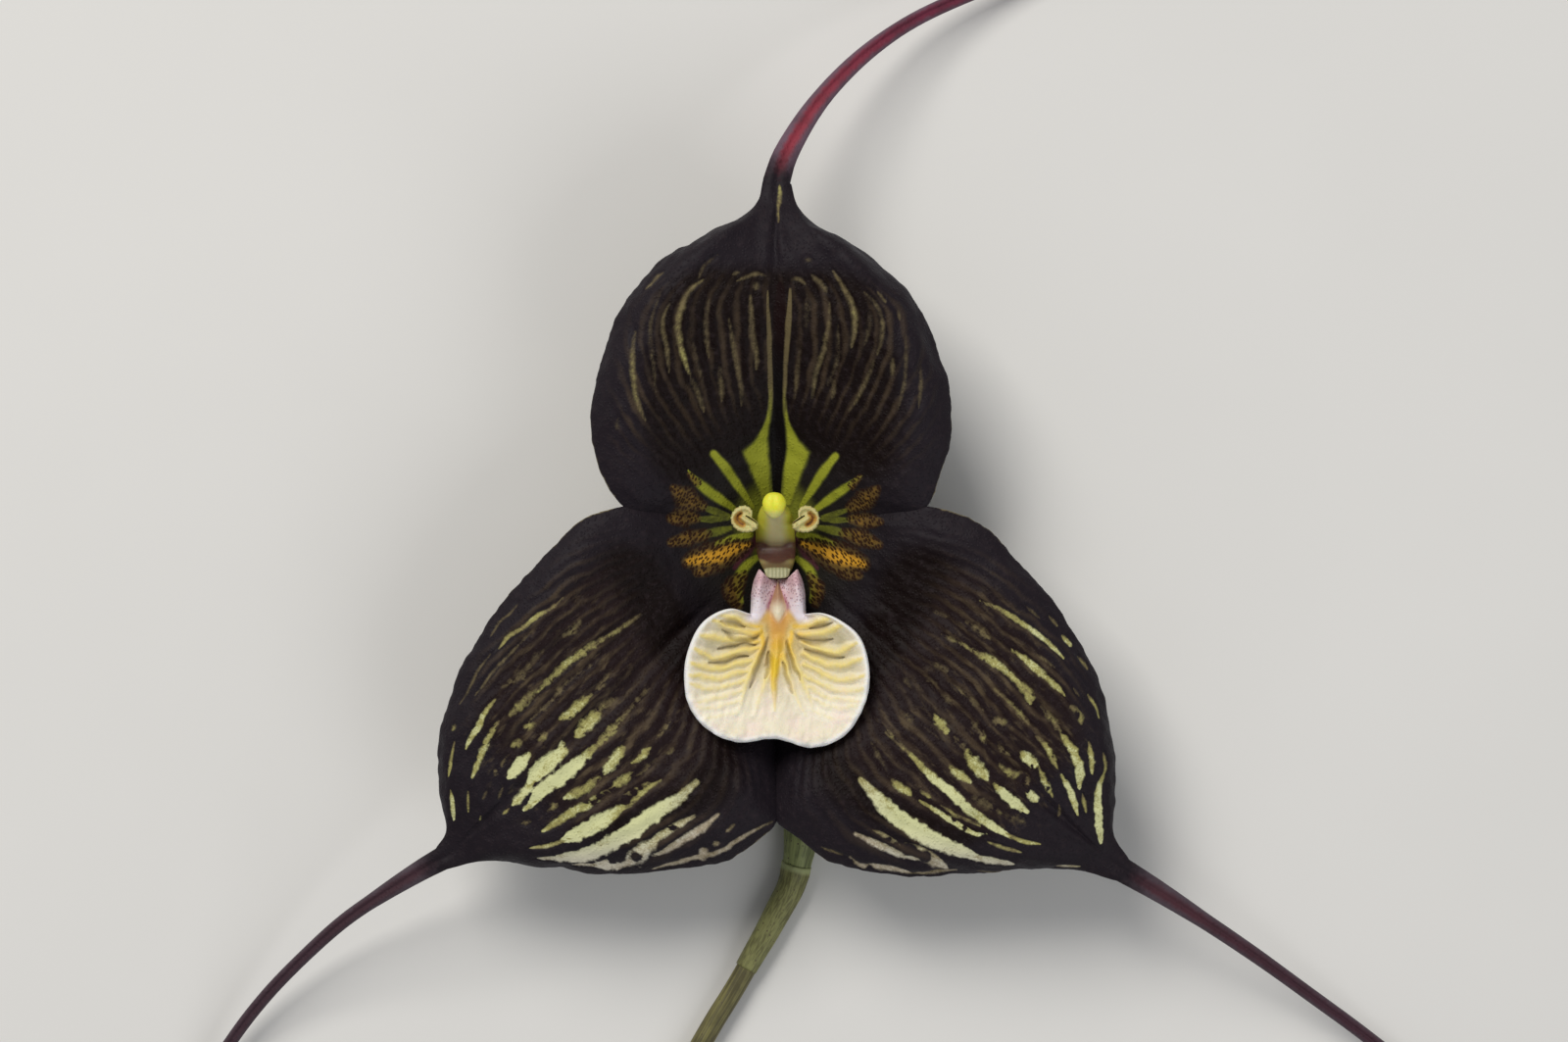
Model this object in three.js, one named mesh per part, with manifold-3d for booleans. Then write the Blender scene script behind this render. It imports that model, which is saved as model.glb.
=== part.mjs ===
// A picked monkey face orchid: one bloom on its cut stalk, lying face up on a flat surface.
// Millimetres. +Z is up, out of the bloom's face, and +Y runs to the tail of the dorsal sepal.
// The origin is on the surface, in the middle of the flat spot under the ovary's knee.
import * as THREE from "three";
import Module from "manifold-3d";

const wasm = await Module();
wasm.setup();

// ---------------------------------------------------------------- driving dimensions
const RING = { x: 0, y: 0.4, radius: 1.95 }; // where the three sepals meet round the column
const BLADE_THICK = 0.95; // a sepal at its base
const MARGIN_THICK = 0.62; // a sepal at its margin
const SEAM_GAP = 0.16; // half the hairline between neighbouring sepals
const MIDRIB_GROOVE = { depth: 0.4, width: 0.05 }; // the furrow along a sepal, its width a share of it
const SWELL_PLACE = 0.75; // how far out from its midrib a sepal bulges most
const TAIL_POINTS = 5; // points across each face of a tail
const TAIL_ROWS = 24;
const TAIL_HALF_DEPTH = 0.5;
const TAIL_EDGE = 0.12 * Math.PI; // a tail's section is a lens: its faces stop this angle from level
const LIP_MIDDLE = 0.28; // x of the lip's midline
const LIP_THICK = { claw: 0.85, rim: 0.7 };
const LIP_RIBS = 13; // gill-like ridges on each side of the lip's midline
const LIP_RIDGE = 0.17; // half the height from furrow to ridge
const LIP_SAG = 1.3; // how far the outermost ridges hang below a straight line
const COLUMN_SIDES = 16;
const CAP = { x: -0.1, y: 3.3, z: 13.25, radius: 1.1, length: 0.95, height: 0.75, beak: 0.3 };
const CAP_FURROW = { depth: 0.12, width: 0.25 };
const PETAL_RADIUS = 1.25;
const PETAL_SIDES = 16;
const PETAL_NOTCH = { depth: 0.28, width: 0.35 }; // where the cup's rim is open
const PETAL_WARTS = { count: 5, height: 0.05 }; // the height is a share of the radius
const OVARY_RADIUS = { top: 1.5, middle: 1.62, neck: 1.24 };
const OVARY_RIB = 0.12; // how far each of its six ribs stands out
const STALK_RADIUS = 1;
const BRACT_RADIUS = { mouth: 1.32, foot: 1.14 };
const BRACT_BORE = 0.72;
const CORE_RADIUS = 0.6; // of the pedicel's end and the stalk's tip, which meet inside the bract

const COLOURS = {
  sepal: 0x2b1f27,
  petal: 0xd9cf86,
  lip: 0xf1e6c4,
  column: 0xa39a55,
  anther: 0xe6e24a,
  ovary: 0x6f7a41,
  bract: 0x9aa062,
  stalk: 0x5b5a34,
};

// ---------------------------------------------------------------- numbers and curves
const { lerp, smoothstep } = THREE.MathUtils;

// A smooth curve through [x, y, z] points.
const curveThrough = (points) =>
  new THREE.CatmullRomCurve3(points.map((p) => new THREE.Vector3(...p)), false, "centripetal");

// The value at a share of the way along a row of evenly spaced values.
function along(values, share) {
  const at = THREE.MathUtils.clamp(share, 0, 1) * (values.length - 1);
  const i = Math.min(Math.floor(at), values.length - 2);
  return lerp(values[i], values[i + 1], smoothstep(at - i, 0, 1));
}

const bump = (x, width) => Math.exp(-((x / width) ** 2));

// ---------------------------------------------------------------- closed solids from rows of points
// Makes the geometry and turns it outwards, by the sign of its volume.
function solid(points, faces) {
  const cross = new THREE.Vector3();
  const volume = faces.reduce(
    (sum, [a, b, c]) => sum + points[a].dot(cross.crossVectors(points[b], points[c])),
    0,
  );
  const outward = volume < 0 ? faces.map(([a, b, c]) => [a, c, b]) : faces;
  const geometry = new THREE.BufferGeometry().setFromPoints(points).setIndex(outward.flat());
  geometry.computeVertexNormals();
  return geometry;
}

// The triangles between two rows of points, which may differ in number: each corner is [row, place].
function stitch(countA, countB) {
  const triangles = [];
  let a = 0;
  let b = 0;
  while (a < countA - 1 || b < countB - 1) {
    const stepA = (a + 1) / (countA - 1) <= (b + 1) / (countB - 1) + 1e-9;
    if (b === countB - 1 || (a < countA - 1 && stepA)) {
      triangles.push([[0, a], [0, a + 1], [1, b]]);
      a += 1;
    } else {
      triangles.push([[0, a], [1, b + 1], [1, b]]);
      b += 1;
    }
  }
  return triangles;
}

// A blade from rows of { front, back } points, with both faces cut into triangles alike.
function bladeSolid(rows) {
  const points = [];
  const faces = [];
  const add = (p) => points.push(p) - 1;
  const numbered = rows.map(({ front, back }) => ({ front: front.map(add), back: back.map(add) }));
  numbered.slice(1).forEach((next, i) => {
    const pair = [numbered[i], next];
    for (const corners of stitch(pair[0].front.length, next.front.length)) {
      faces.push(corners.map(([row, k]) => pair[row].front[k]));
      faces.push(corners.map(([row, k]) => pair[row].back[k]).reverse());
    }
    const [a, b] = pair;
    faces.push([a.front[0], b.front[0], b.back[0]], [a.front[0], b.back[0], a.back[0]]);
    faces.push([a.front.at(-1), b.back.at(-1), b.front.at(-1)]);
    faces.push([a.front.at(-1), a.back.at(-1), b.back.at(-1)]);
  });
  const closeRow = ({ front, back }, turned) => {
    for (let k = 0; k < front.length - 1; k++)
      for (const f of [[front[k], back[k], back[k + 1]], [front[k], back[k + 1], front[k + 1]]])
        faces.push(turned ? f.reverse() : f);
  };
  closeRow(numbered[0], false);
  closeRow(numbered.at(-1), true);
  return solid(points, faces);
}

// A solid from rings of equally many points, capped at both ends, or joined into a sleeve.
function ringSolid(rings, sleeve = false) {
  const n = rings[0].length;
  const points = rings.flat();
  const faces = [];
  const bands = sleeve ? rings.length : rings.length - 1;
  for (let i = 0; i < bands; i++)
    for (let k = 0; k < n; k++) {
      const next = ((i + 1) % rings.length) * n;
      const [a, b] = [i * n + k, i * n + ((k + 1) % n)];
      const [c, d] = [next + k, next + ((k + 1) % n)];
      faces.push([a, b, d], [a, d, c]);
    }
  if (!sleeve)
    for (const first of [0, (rings.length - 1) * n]) {
      const middle = new THREE.Vector3();
      for (let k = 0; k < n; k++) middle.addScaledVector(points[first + k], 1 / n);
      const m = points.push(middle) - 1;
      for (let k = 0; k < n; k++) {
        const [a, b] = [first + k, first + ((k + 1) % n)];
        faces.push(first ? [m, a, b] : [m, b, a]);
      }
    }
  return solid(points, faces);
}

// Rings across a curve. reach(angle, u, centre) is the distance from the curve, and angle -90 degrees is
// straight down. Nothing goes below the surface, so a tube that lies on it has a narrow flat underside.
// Where the curve is upright or runs along Y, its rings are level along X.
function tubeRings(curve, steps, sides, reach) {
  return Array.from({ length: steps + 1 }, (_, i) => {
    const u = i / steps;
    const centre = curve.getPointAt(u);
    const tangent = curve.getTangentAt(u);
    const across = new THREE.Vector3(tangent.y, -tangent.x, 0);
    if (across.length() < 0.15 || Math.abs(tangent.x) < 0.05) across.set(-1, 0, 0);
    across.normalize();
    const up = new THREE.Vector3().crossVectors(across, tangent).normalize();
    return Array.from({ length: sides }, (_, k) => {
      const angle = ((k + 0.5) / sides) * 2 * Math.PI - Math.PI / 2;
      const r = reach(angle, u, centre);
      const p = centre
        .clone()
        .addScaledVector(across, r * Math.cos(angle))
        .addScaledVector(up, r * Math.sin(angle));
      return p.setZ(Math.max(p.z, 0));
    });
  });
}

// ---------------------------------------------------------------- joining with manifold-3d
function toManifold(geometry) {
  return new wasm.Manifold(
    new wasm.Mesh({
      numProp: 3,
      vertProperties: new Float32Array(geometry.getAttribute("position").array),
      triVerts: new Uint32Array(geometry.index.array),
    }),
  );
}

function joined(first, second) {
  const mesh = toManifold(first).add(toManifold(second)).getMesh();
  const geometry = new THREE.BufferGeometry();
  geometry.setAttribute("position", new THREE.BufferAttribute(mesh.vertProperties, 3));
  geometry.setIndex(new THREE.BufferAttribute(mesh.triVerts, 1));
  geometry.computeVertexNormals();
  return geometry;
}

function piece(name, color, roughness, geometry) {
  const material = new THREE.MeshStandardMaterial({ color, roughness, metalness: 0 });
  material.flatShading = true;
  const mesh = new THREE.Mesh(geometry, material);
  mesh.name = name;
  return mesh;
}

// ---------------------------------------------------------------- sepals
// Each sepal is a fan of veins from the ring round the column to its tail. The midrib and the two
// edges, in clockwise order, are curves of [x, y, z] points. An edge runs along the seam with the
// neighbour first, where the sepals are grown together, and then along the free margin.
const SEAM_LEFT = [[-1.85, 1, 7.7], [-5.5, 1.5, 9.9], [-9.8, 2.3, 12.1], [-14, 3, 13.6]];
const SEAM_RIGHT = SEAM_LEFT.map(([x, y, z]) => [-x, y, z]);
const SEAM_DOWN = [
  [0, -1.55, 7.5], [0, -5.5, 6.7], [0, -11, 6.4], [0, -17, 7.4], [0.1, -22, 9.4], [0.15, -26.2, 11],
];
const shifted = (points, dx, dy) => points.map(([x, y, z]) => [x + dx, y + dy, z]);

const SEPALS = {
  dorsal_sepal: {
    midrib: [
      [0, 2.35, 7.7], [0, 6.5, 9.4], [0, 11, 11.6], [0, 16.5, 14.1],
      [0, 22, 15.9], [0, 26.8, 15.6], [0.05, 30.5, 13.9], [0.14, 33.2, 12.2],
    ],
    firstEdge: [
      ...shifted(SEAM_LEFT, 0, SEAM_GAP),
      [-16.6, 7.3, 13.9], [-17.2, 12, 14], [-15.9, 18, 14], [-12.4, 24.2, 13.7],
      [-7, 28.1, 13.4], [-3.4, 29.7, 13.1], [-1.65, 31.4, 12.7], [-1.15, 33.2, 12.2],
    ],
    secondEdge: [
      ...shifted(SEAM_RIGHT, 0, SEAM_GAP),
      [15.9, 7.3, 13.9], [16.5, 12, 14], [15.4, 17.6, 14], [12.2, 23.3, 13.7],
      [7, 27.5, 13.4], [3.8, 29.2, 13.1], [2.1, 31, 12.7], [1.43, 33.2, 12.2],
    ],
    swell: 2.1,
    tail: [
      [0.14, 33.2, 12.2], [0.75, 35.2, 11.3], [1.82, 37.3, 10.3], [3.55, 40, 9], [5.8, 42.7, 7.6],
      [8.8, 45.5, 6], [12.7, 48.2, 4.3], [17.5, 50.5, 2.8], [25, 53.2, 1.4], [35, 56, 0.8],
      [46, 59.2, 0.6], [57, 63.6, 0.5], [66, 69.5, 0.5],
    ],
    tailWidths: [2.55, 1.75, 1.4, 1.3, 1.25, 1.2, 1.15, 1.05, 0.85],
  },
  left_lateral_sepal: {
    midrib: [
      [-1.38, -1, 7.7], [-5, -4.8, 9.2], [-10, -9.8, 11.6], [-16.5, -16, 13.9],
      [-22.7, -22, 14], [-27.4, -26.6, 12.2], [-31, -29.7, 10],
    ],
    firstEdge: [
      ...shifted(SEAM_DOWN, -SEAM_GAP, 0),
      [-2, -28.5, 11], [-4.5, -29.9, 10.6], [-9.2, -30.8, 10.4], [-15.5, -31.2, 10.2], [-22.8, -30.35, 10],
      [-27.1, -29.95, 10], [-30.45, -30.65, 10],
    ],
    secondEdge: [
      ...shifted(SEAM_LEFT, 0, -SEAM_GAP),
      [-17.9, 1.9, 13.7], [-22.5, -2.4, 13.2], [-27.6, -9, 12.3], [-30.7, -16, 11.6],
      [-31.4, -22.8, 11], [-30.6, -27.1, 10.5], [-31.55, -28.75, 10],
    ],
    swell: 1.5,
    tail: [
      [-31, -29.7, 10], [-32.8, -30.7, 9.2], [-36.5, -33, 7.7], [-40.1, -35.5, 6.1], [-43.7, -38.7, 4.5],
      [-47.4, -42.5, 3.1], [-50.6, -46.6, 2.1], [-54.3, -52.6, 1.2], [-57.2, -60, 0.75],
      [-58.8, -68.5, 0.6], [-58.6, -77, 0.5], [-56.4, -85.5, 0.5],
    ],
    tailWidths: [2.2, 1.35, 1.22, 1.2, 1.15, 1.1, 1.05, 1, 0.85],
  },
  right_lateral_sepal: {
    midrib: [
      [1.38, -1, 7.7], [5, -4.8, 9.2], [10, -9.8, 11.6], [16.5, -16, 13.9],
      [23, -22.3, 14], [28.4, -27.4, 12.2], [32.3, -30.75, 10],
    ],
    firstEdge: [
      ...shifted(SEAM_RIGHT, 0, -SEAM_GAP),
      [18.3, 1.9, 13.7], [23.2, -2.45, 13.2], [28.2, -9.2, 12.3], [31.1, -16, 11.6],
      [31.7, -22.8, 11], [31.5, -27.4, 10.5], [32.9, -29.75, 10],
    ],
    secondEdge: [
      ...shifted(SEAM_DOWN, SEAM_GAP, 0),
      [2.25, -28.1, 11], [4, -29.4, 10.8], [6.6, -30.5, 10.6], [14, -31.4, 10.2], [23.5, -30.8, 10],
      [28, -30.8, 10], [31.7, -31.75, 10],
    ],
    swell: 1.5,
    tail: [
      [32.3, -30.75, 10], [35.4, -32.6, 8.9], [39, -34.9, 7.5], [44.5, -38.6, 5.3], [49.9, -42.5, 3.6],
      [55.2, -46.4, 2.3], [62.4, -52.2, 1.2], [69.6, -59.2, 0.75], [75.5, -67, 0.6],
      [79.8, -76, 0.5], [82, -84.5, 0.5],
    ],
    tailWidths: [2.3, 1.5, 1.3, 1.25, 1.2, 1.15, 1.1, 1, 0.85],
  },
};

// The share of the way from ring to tail of each row across a blade, and how many points it has.
const BLADE_ROWS = [
  [0, 9], [0.045, 13], [0.09, 17],
  ...Array.from({ length: 14 }, (_, i) => [0.14 + 0.05 * i, 21]),
  [0.835, 17], [0.875, 17], [0.91, 13], [0.94, 9], [0.965, 7], [0.985, 5],
];

// Where the vein at t (-1 to 1, from the first edge to the second) is, at a share s of its length.
function bladePoint({ midrib, edges, swell }, s, t) {
  const out = Math.abs(t);
  const edge = edges[t < 0 ? 0 : 1];
  const p = midrib.getPointAt(s).lerp(edge.getPointAt(s), out);
  const open = smoothstep(s, 0.05, 0.45) * (1 - smoothstep(s, 0.82, 1));
  p.z = lerp(midrib.getPointAt(s).z, edge.getPointAt(s).z, out ** lerp(1, 1.6, open));
  p.z += (swell * open * out ** 3 * (1 - out)) / (SWELL_PLACE ** 3 * (1 - SWELL_PLACE));
  const furrowed = smoothstep(s, 0.1, 0.3) * (1 - smoothstep(s, 0.85, 1));
  p.z -= MIDRIB_GROOVE.depth * furrowed * bump(t, MIDRIB_GROOVE.width);
  // the first rows leave the ring
  const start = midrib.getPointAt(0).lerp(edge.getPointAt(0), out);
  const spoke = new THREE.Vector2(start.x - RING.x, start.y - RING.y).setLength(RING.radius);
  start.setX(RING.x + spoke.x).setY(RING.y + spoke.y);
  return start.lerp(p, smoothstep(s, 0, 0.15));
}

function bladeNormal(form, s, t) {
  const step = 0.012;
  const [s1, t1] = [Math.min(s + step, 1), Math.min(t + step, 1)];
  const [s0, t0] = [Math.max(s1 - 2 * step, 0), Math.max(t1 - 2 * step, -1)];
  const alongVein = bladePoint(form, s1, t).sub(bladePoint(form, s0, t));
  const acrossVein = bladePoint(form, s, t1).sub(bladePoint(form, s, t0));
  return acrossVein.cross(alongVein).normalize();
}

function bladeRow(form, s, count) {
  const row = { front: [], back: [] };
  for (let k = 0; k < count; k++) {
    const t = -1 + (2 * k) / (count - 1);
    const p = bladePoint(form, s, t);
    const thick = lerp(BLADE_THICK, MARGIN_THICK, Math.abs(t) ** 1.5 * smoothstep(s, 0, 0.3));
    row.front.push(p);
    row.back.push(p.clone().addScaledVector(bladeNormal(form, s, t), -thick));
  }
  return row;
}

// One row across a tail: a lens of two faces, rounder and narrower towards the tip.
function tailRow(curve, widths, u) {
  const centre = curve.getPointAt(u);
  const tangent = curve.getTangentAt(u);
  const across = new THREE.Vector3(tangent.y, -tangent.x, 0).normalize(); // clockwise, as the edges are
  const up = new THREE.Vector3().crossVectors(across, tangent).normalize();
  const tip = u > 0.999 ? 0.5 : 1;
  const row = { front: [], back: [] };
  for (let k = 0; k < TAIL_POINTS; k++) {
    const angle = lerp(Math.PI - TAIL_EDGE, TAIL_EDGE, k / (TAIL_POINTS - 1));
    const side = (Math.cos(angle) / Math.cos(TAIL_EDGE)) * (along(widths, u) / 2) * tip;
    const rise = Math.sin(angle) * TAIL_HALF_DEPTH * tip;
    for (const [face, height] of [["front", rise], ["back", -rise]]) {
      const p = centre.clone().addScaledVector(across, side).addScaledVector(up, height);
      row[face].push(p.setZ(Math.max(p.z, 0)));
    }
  }
  return row;
}

function sepalSolid({ midrib, firstEdge, secondEdge, swell, tail, tailWidths }) {
  const edges = [curveThrough(firstEdge), curveThrough(secondEdge)];
  const form = { midrib: curveThrough(midrib), edges, swell };
  const rows = BLADE_ROWS.map(([s, count]) => bladeRow(form, s, count));
  const tailCurve = curveThrough(tail);
  for (let i = 0; i <= TAIL_ROWS; i++) rows.push(tailRow(tailCurve, tailWidths, i / TAIL_ROWS));
  return bladeSolid(rows);
}

// ---------------------------------------------------------------- lip
// A claw with raised sides that opens into a saucer. Gill-like ridges fan out over the saucer to
// its rim. The claw starts in two points, one on each side of the column's foot.
const CLAW_ROWS = [
  // y, half width, height in the middle, height of the sides
  { y: -3.75, half: 1.95, middle: 11.0, side: 12.5 },
  { y: -4.3, half: 2.35, middle: 11.2, side: 12.9 },
  { y: -5.1, half: 2.52, middle: 11.5, side: 12.9 },
  { y: -6, half: 2.55, middle: 11.8, side: 12.7 },
  { y: -6.9, half: 2.6, middle: 12, side: 12.5 },
];
const CLAW_POINTS = 13;
const CLAW_HORN = { reach: 1, place: 0.84, width: 0.16 }; // the two points at the start of the claw
const CLAW_LOBE = { place: 0.72, width: 0.3 }; // its raised sides, as shares of its half width
const CLAW_KEEL = { height: 0.25, width: 0.2 };
const RIM = [
  // from the left shoulder round the bottom to the right shoulder
  [-2.35, -6.9, 12.5], [-4.2, -6.45, 13.5], [-6.5, -7.5, 14], [-8, -10, 14.2], [-8.45, -12.8, 14.2],
  [-7.8, -15.9, 14.1], [-5.6, -18.1, 14], [-3.2, -18.85, 13.9], [-0.1, -18.5, 13.8], [3.5, -19.35, 13.9],
  [6.6, -18.1, 14], [8.3, -15.3, 14.1], [8.75, -12.4, 14.2], [8, -9.3, 14.2], [6.2, -7.6, 14],
  [4.4, -6.85, 13.5], [2.8, -6.9, 12.5],
];
const THROAT = [
  [-2.3, -6.95, 12.5], [-1.6, -7.9, 12.3], [0.28, -8.5, 12.1], [2.1, -7.9, 12.3], [2.75, -6.95, 12.5],
];
const FAN_ROWS = [0.06, 0.18, 0.32, 0.46, 0.6, 0.74, 0.88, 1];
const FAN_ARCH = 0.3; // how far the saucer bulges between throat and rim
const BACK_DRAWN_IN = 0.04; // the lip's rear face is this much narrower

function lipRow(tops, thick) {
  const back = tops.map((p) => new THREE.Vector3(lerp(p.x, LIP_MIDDLE, BACK_DRAWN_IN), p.y, p.z - thick));
  return { front: tops, back };
}

function clawRow({ y, half, middle, side }, first) {
  const tops = [];
  for (let k = 0; k < CLAW_POINTS; k++) {
    const t = -1 + (2 * k) / (CLAW_POINTS - 1);
    const lobe = bump(Math.abs(t) - CLAW_LOBE.place, CLAW_LOBE.width);
    const keel = CLAW_KEEL.height * bump(t, CLAW_KEEL.width);
    const horn = first ? CLAW_HORN.reach * bump(Math.abs(t) - CLAW_HORN.place, CLAW_HORN.width) : 0;
    tops.push(new THREE.Vector3(LIP_MIDDLE + half * t, y + horn, lerp(middle, side, lobe) + keel));
  }
  return lipRow(tops, LIP_THICK.claw);
}

// The ridges and furrows alternate from column to column of the fan.
function fanRow(throat, rim, out) {
  const columns = LIP_RIBS * 4;
  const tops = [];
  for (let k = 0; k <= columns; k++) {
    const share = k / columns;
    const [from, to] = [throat.getPointAt(share), rim.getPointAt(share)];
    const bend = from.clone().lerp(to, 0.45);
    bend.y -= LIP_SAG * Math.sin(2 * Math.PI * Math.abs(share - 0.5)); // most halfway round each side
    const p = new THREE.QuadraticBezierCurve3(from, bend, to).getPoint(out);
    p.z = lerp(from.z, to.z, out ** 2.4) + FAN_ARCH * Math.sin(Math.PI * out);
    const grown = smoothstep(out, 0.05, 0.4) * (1 - 0.8 * smoothstep(out, 0.8, 1));
    p.z += LIP_RIDGE * grown * (k % 2 ? 1 : -1);
    tops.push(p);
  }
  return lipRow(tops, lerp(LIP_THICK.claw, LIP_THICK.rim, out));
}

function lipSolid() {
  const [rim, throat] = [curveThrough(RIM), curveThrough(THROAT)];
  return bladeSolid([
    ...CLAW_ROWS.map((row, i) => clawRow(row, i === 0)),
    ...FAN_ROWS.map((out) => fanRow(throat, rim, out)),
  ]);
}

// ---------------------------------------------------------------- column, anther cap and petals
// Rings round a path in the plane of symmetry: each row is [x, y, z, half width, half depth].
function standingRings(sections, sides) {
  const path = curveThrough(sections.map(([x, y, z]) => [x, y, z]));
  return sections.map(([x, y, z, wide, deep], i) => {
    const tangent = path.getTangent(i / (sections.length - 1));
    const front = new THREE.Vector3(0, tangent.z, -tangent.y).normalize();
    return Array.from({ length: sides }, (_, k) => {
      const angle = ((k + 0.5) / sides) * 2 * Math.PI;
      const p = new THREE.Vector3(x + wide * Math.cos(angle), y, z);
      return p.addScaledVector(front, deep * Math.sin(angle));
    });
  });
}

// The column leans back to its cap, and its foot reaches forward to the hinge of the lip.
const COLUMN = [
  [0, 0.35, 7.5, 1.75, 1.75], [0, 0.5, 8.5, 1.75, 1.7], [0, 1, 9.6, 1.5, 1.4],
  [0, 1.7, 10.7, 1.2, 1.1], [-0.05, 2.4, 11.7, 1, 0.9], [-0.1, 3, 12.5, 0.85, 0.75],
];
const FOOT = [
  [0.05, 0.2, 8.4, 1.55, 0.7], [0.1, -1, 8.9, 1.6, 0.6], [0.16, -2, 9.6, 1.45, 0.5],
  [0.22, -2.75, 10.5, 1.3, 0.45], [0.26, -3.1, 11.3, 1.15, 0.35],
];

function columnSolid() {
  return joined(ringSolid(standingRings(COLUMN, COLUMN_SIDES)), ringSolid(standingRings(FOOT, COLUMN_SIDES)));
}

// The cap is a low dome with a shallow furrow down its middle and a blunt beak towards the lip. Its
// underside is half as deep as its top.
function capSolid() {
  const geometry = new THREE.SphereGeometry(1, 16, 10);
  const place = geometry.getAttribute("position");
  const p = new THREE.Vector3();
  for (let i = 0; i < place.count; i++) {
    p.fromBufferAttribute(place, i);
    const beak = CAP.beak * Math.max(0, -p.y) ** 2 * (1 - Math.abs(p.z));
    const furrow = CAP_FURROW.depth * bump(p.x, CAP_FURROW.width) * Math.max(0, p.z);
    place.setXYZ(
      i,
      CAP.x + CAP.radius * p.x,
      CAP.y + CAP.radius * CAP.length * p.y - beak,
      CAP.z + (CAP.height - furrow) * (p.z > 0 ? p.z : 0.5 * p.z),
    );
  }
  return geometry;
}

// A petal is a short stalk with a small cup at its end. The cup's rim is open towards the column.
const PETAL = { x: 2.9, y: 1.8, z: 11.7, rootX: 2.25, rootY: 1.1, rootZ: 8.4 };
const PETAL_PROFILE = [
  // share of the radius, height from the stalk's root (0) to the rim (1)
  [0.26, 0], [0.28, 0.3], [0.36, 0.55], [0.72, 0.76], [0.96, 0.9],
  [1, 1], [0.8, 1.02], [0.6, 0.9], [0.34, 0.86],
];

function petalSolid(side) {
  const rings = PETAL_PROFILE.map(([share, height]) => {
    const lean = smoothstep(height, 0, 0.8);
    return Array.from({ length: PETAL_SIDES }, (_, k) => {
      const angle = (k / PETAL_SIDES) * 2 * Math.PI;
      const notched = bump(Math.sin(angle / 2), PETAL_NOTCH.width);
      const open = height > 0.8 ? PETAL_NOTCH.depth * notched : 0;
      const warty = 1 + PETAL_WARTS.height * Math.sin(PETAL_WARTS.count * angle) * smoothstep(share, 0.6, 1);
      const r = PETAL_RADIUS * share * warty;
      return new THREE.Vector3(
        side * (lerp(PETAL.rootX, PETAL.x, lean) + r * Math.cos(angle)),
        lerp(PETAL.rootY, PETAL.y, lean) + r * Math.sin(angle),
        lerp(PETAL.rootZ, PETAL.z, height - open),
      );
    });
  });
  return ringSolid(rings);
}

// ---------------------------------------------------------------- ovary, bract and stalk
// The ovary hangs under the ring, turns at its knee, and narrows into the pedicel along the surface.
const OVARY = [
  [0, 0.4, 7.2], [0, 0.42, 6.6], [0, 1.1, 5.4], [0, 1.7, 3.9], [0, 1.2, 2.4], [0, -0.3, 1.4],
  [0, -2.4, 1.35], [0.5, -8, 1.7], [1.2, -15, 1.9], [2, -22.5, 1.75], [2.4, -27.5, 1.55], [1.95, -30.9, 1.34],
];
const PEDICEL_END = [[1.92, -31, 1.34], [1.35, -32.7, 1.34], [0.55, -34.2, 1.34]];
const STALK_TIP = [[0.4, -34.45, 1.34], [-0.86, -36.82, 1.3], [-2.3, -39.3, 1.22]];
const STALK = [
  [-2.45, -39.6, 1.2], [-4, -42.3, 1.1], [-5.9, -45.4, 1], [-11, -54.5, 0.96], [-17, -65.5, 0.94],
  [-23.4, -77, 0.94], [-30, -89, 0.94],
];
const BRACT = [
  [1.75, -31.55, 1.34], [1.35, -32.7, 1.34], [0.55, -34.2, 1.34], [-0.86, -36.82, 1.3], [-2.3, -39.3, 1.22],
];
const BRACT_STEPS = 8;
const OVARY_SIDES = 18;
const STALK_SIDES = 12;
const BRACT_SIDES = 14;
const MOUTH_SLANT = 0.4; // how much further up the pedicel the bract's mouth reaches on one side

function ovaryReach(angle, u, centre) {
  const { top, middle, neck } = OVARY_RADIUS;
  const body = lerp(lerp(top, middle, smoothstep(u, 0.2, 0.45)), neck, smoothstep(-centre.y, 26, 30.5));
  const ribbed = smoothstep(u, 0.02, 0.12) * (1 - smoothstep(u, 0.5, 0.85));
  return body + OVARY_RIB * ribbed * (Math.cos(6 * (angle + Math.PI / 2)) - 1) * 0.5;
}

const core = () => CORE_RADIUS;

function ovarySolid() {
  return ringSolid([
    ...tubeRings(curveThrough(OVARY), 32, OVARY_SIDES, ovaryReach),
    ...tubeRings(curveThrough(PEDICEL_END), 3, OVARY_SIDES, core),
  ]);
}

function stalkSolid() {
  return ringSolid([
    ...tubeRings(curveThrough(STALK_TIP), 4, STALK_SIDES, core),
    ...tubeRings(curveThrough(STALK), 22, STALK_SIDES, () => STALK_RADIUS),
  ]);
}

// A tubular sheath: out along its outside and back through its bore. Its mouth is cut on a slant.
function bractSolid() {
  const curve = curveThrough(BRACT);
  const { mouth, foot } = BRACT_RADIUS;
  const outside = tubeRings(curve, BRACT_STEPS, BRACT_SIDES, (angle, u) => lerp(mouth, foot, u));
  const bore = tubeRings(curve, BRACT_STEPS, BRACT_SIDES, () => BRACT_BORE).reverse();
  const slant = (k) => (MOUTH_SLANT / 2) * (1 + Math.cos((k / BRACT_SIDES) * 2 * Math.PI));
  for (const ring of [outside[0], bore.at(-1)]) ring.forEach((p, k) => p.setY(p.y + slant(k)));
  return ringSolid([...outside, ...bore], true);
}

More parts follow.
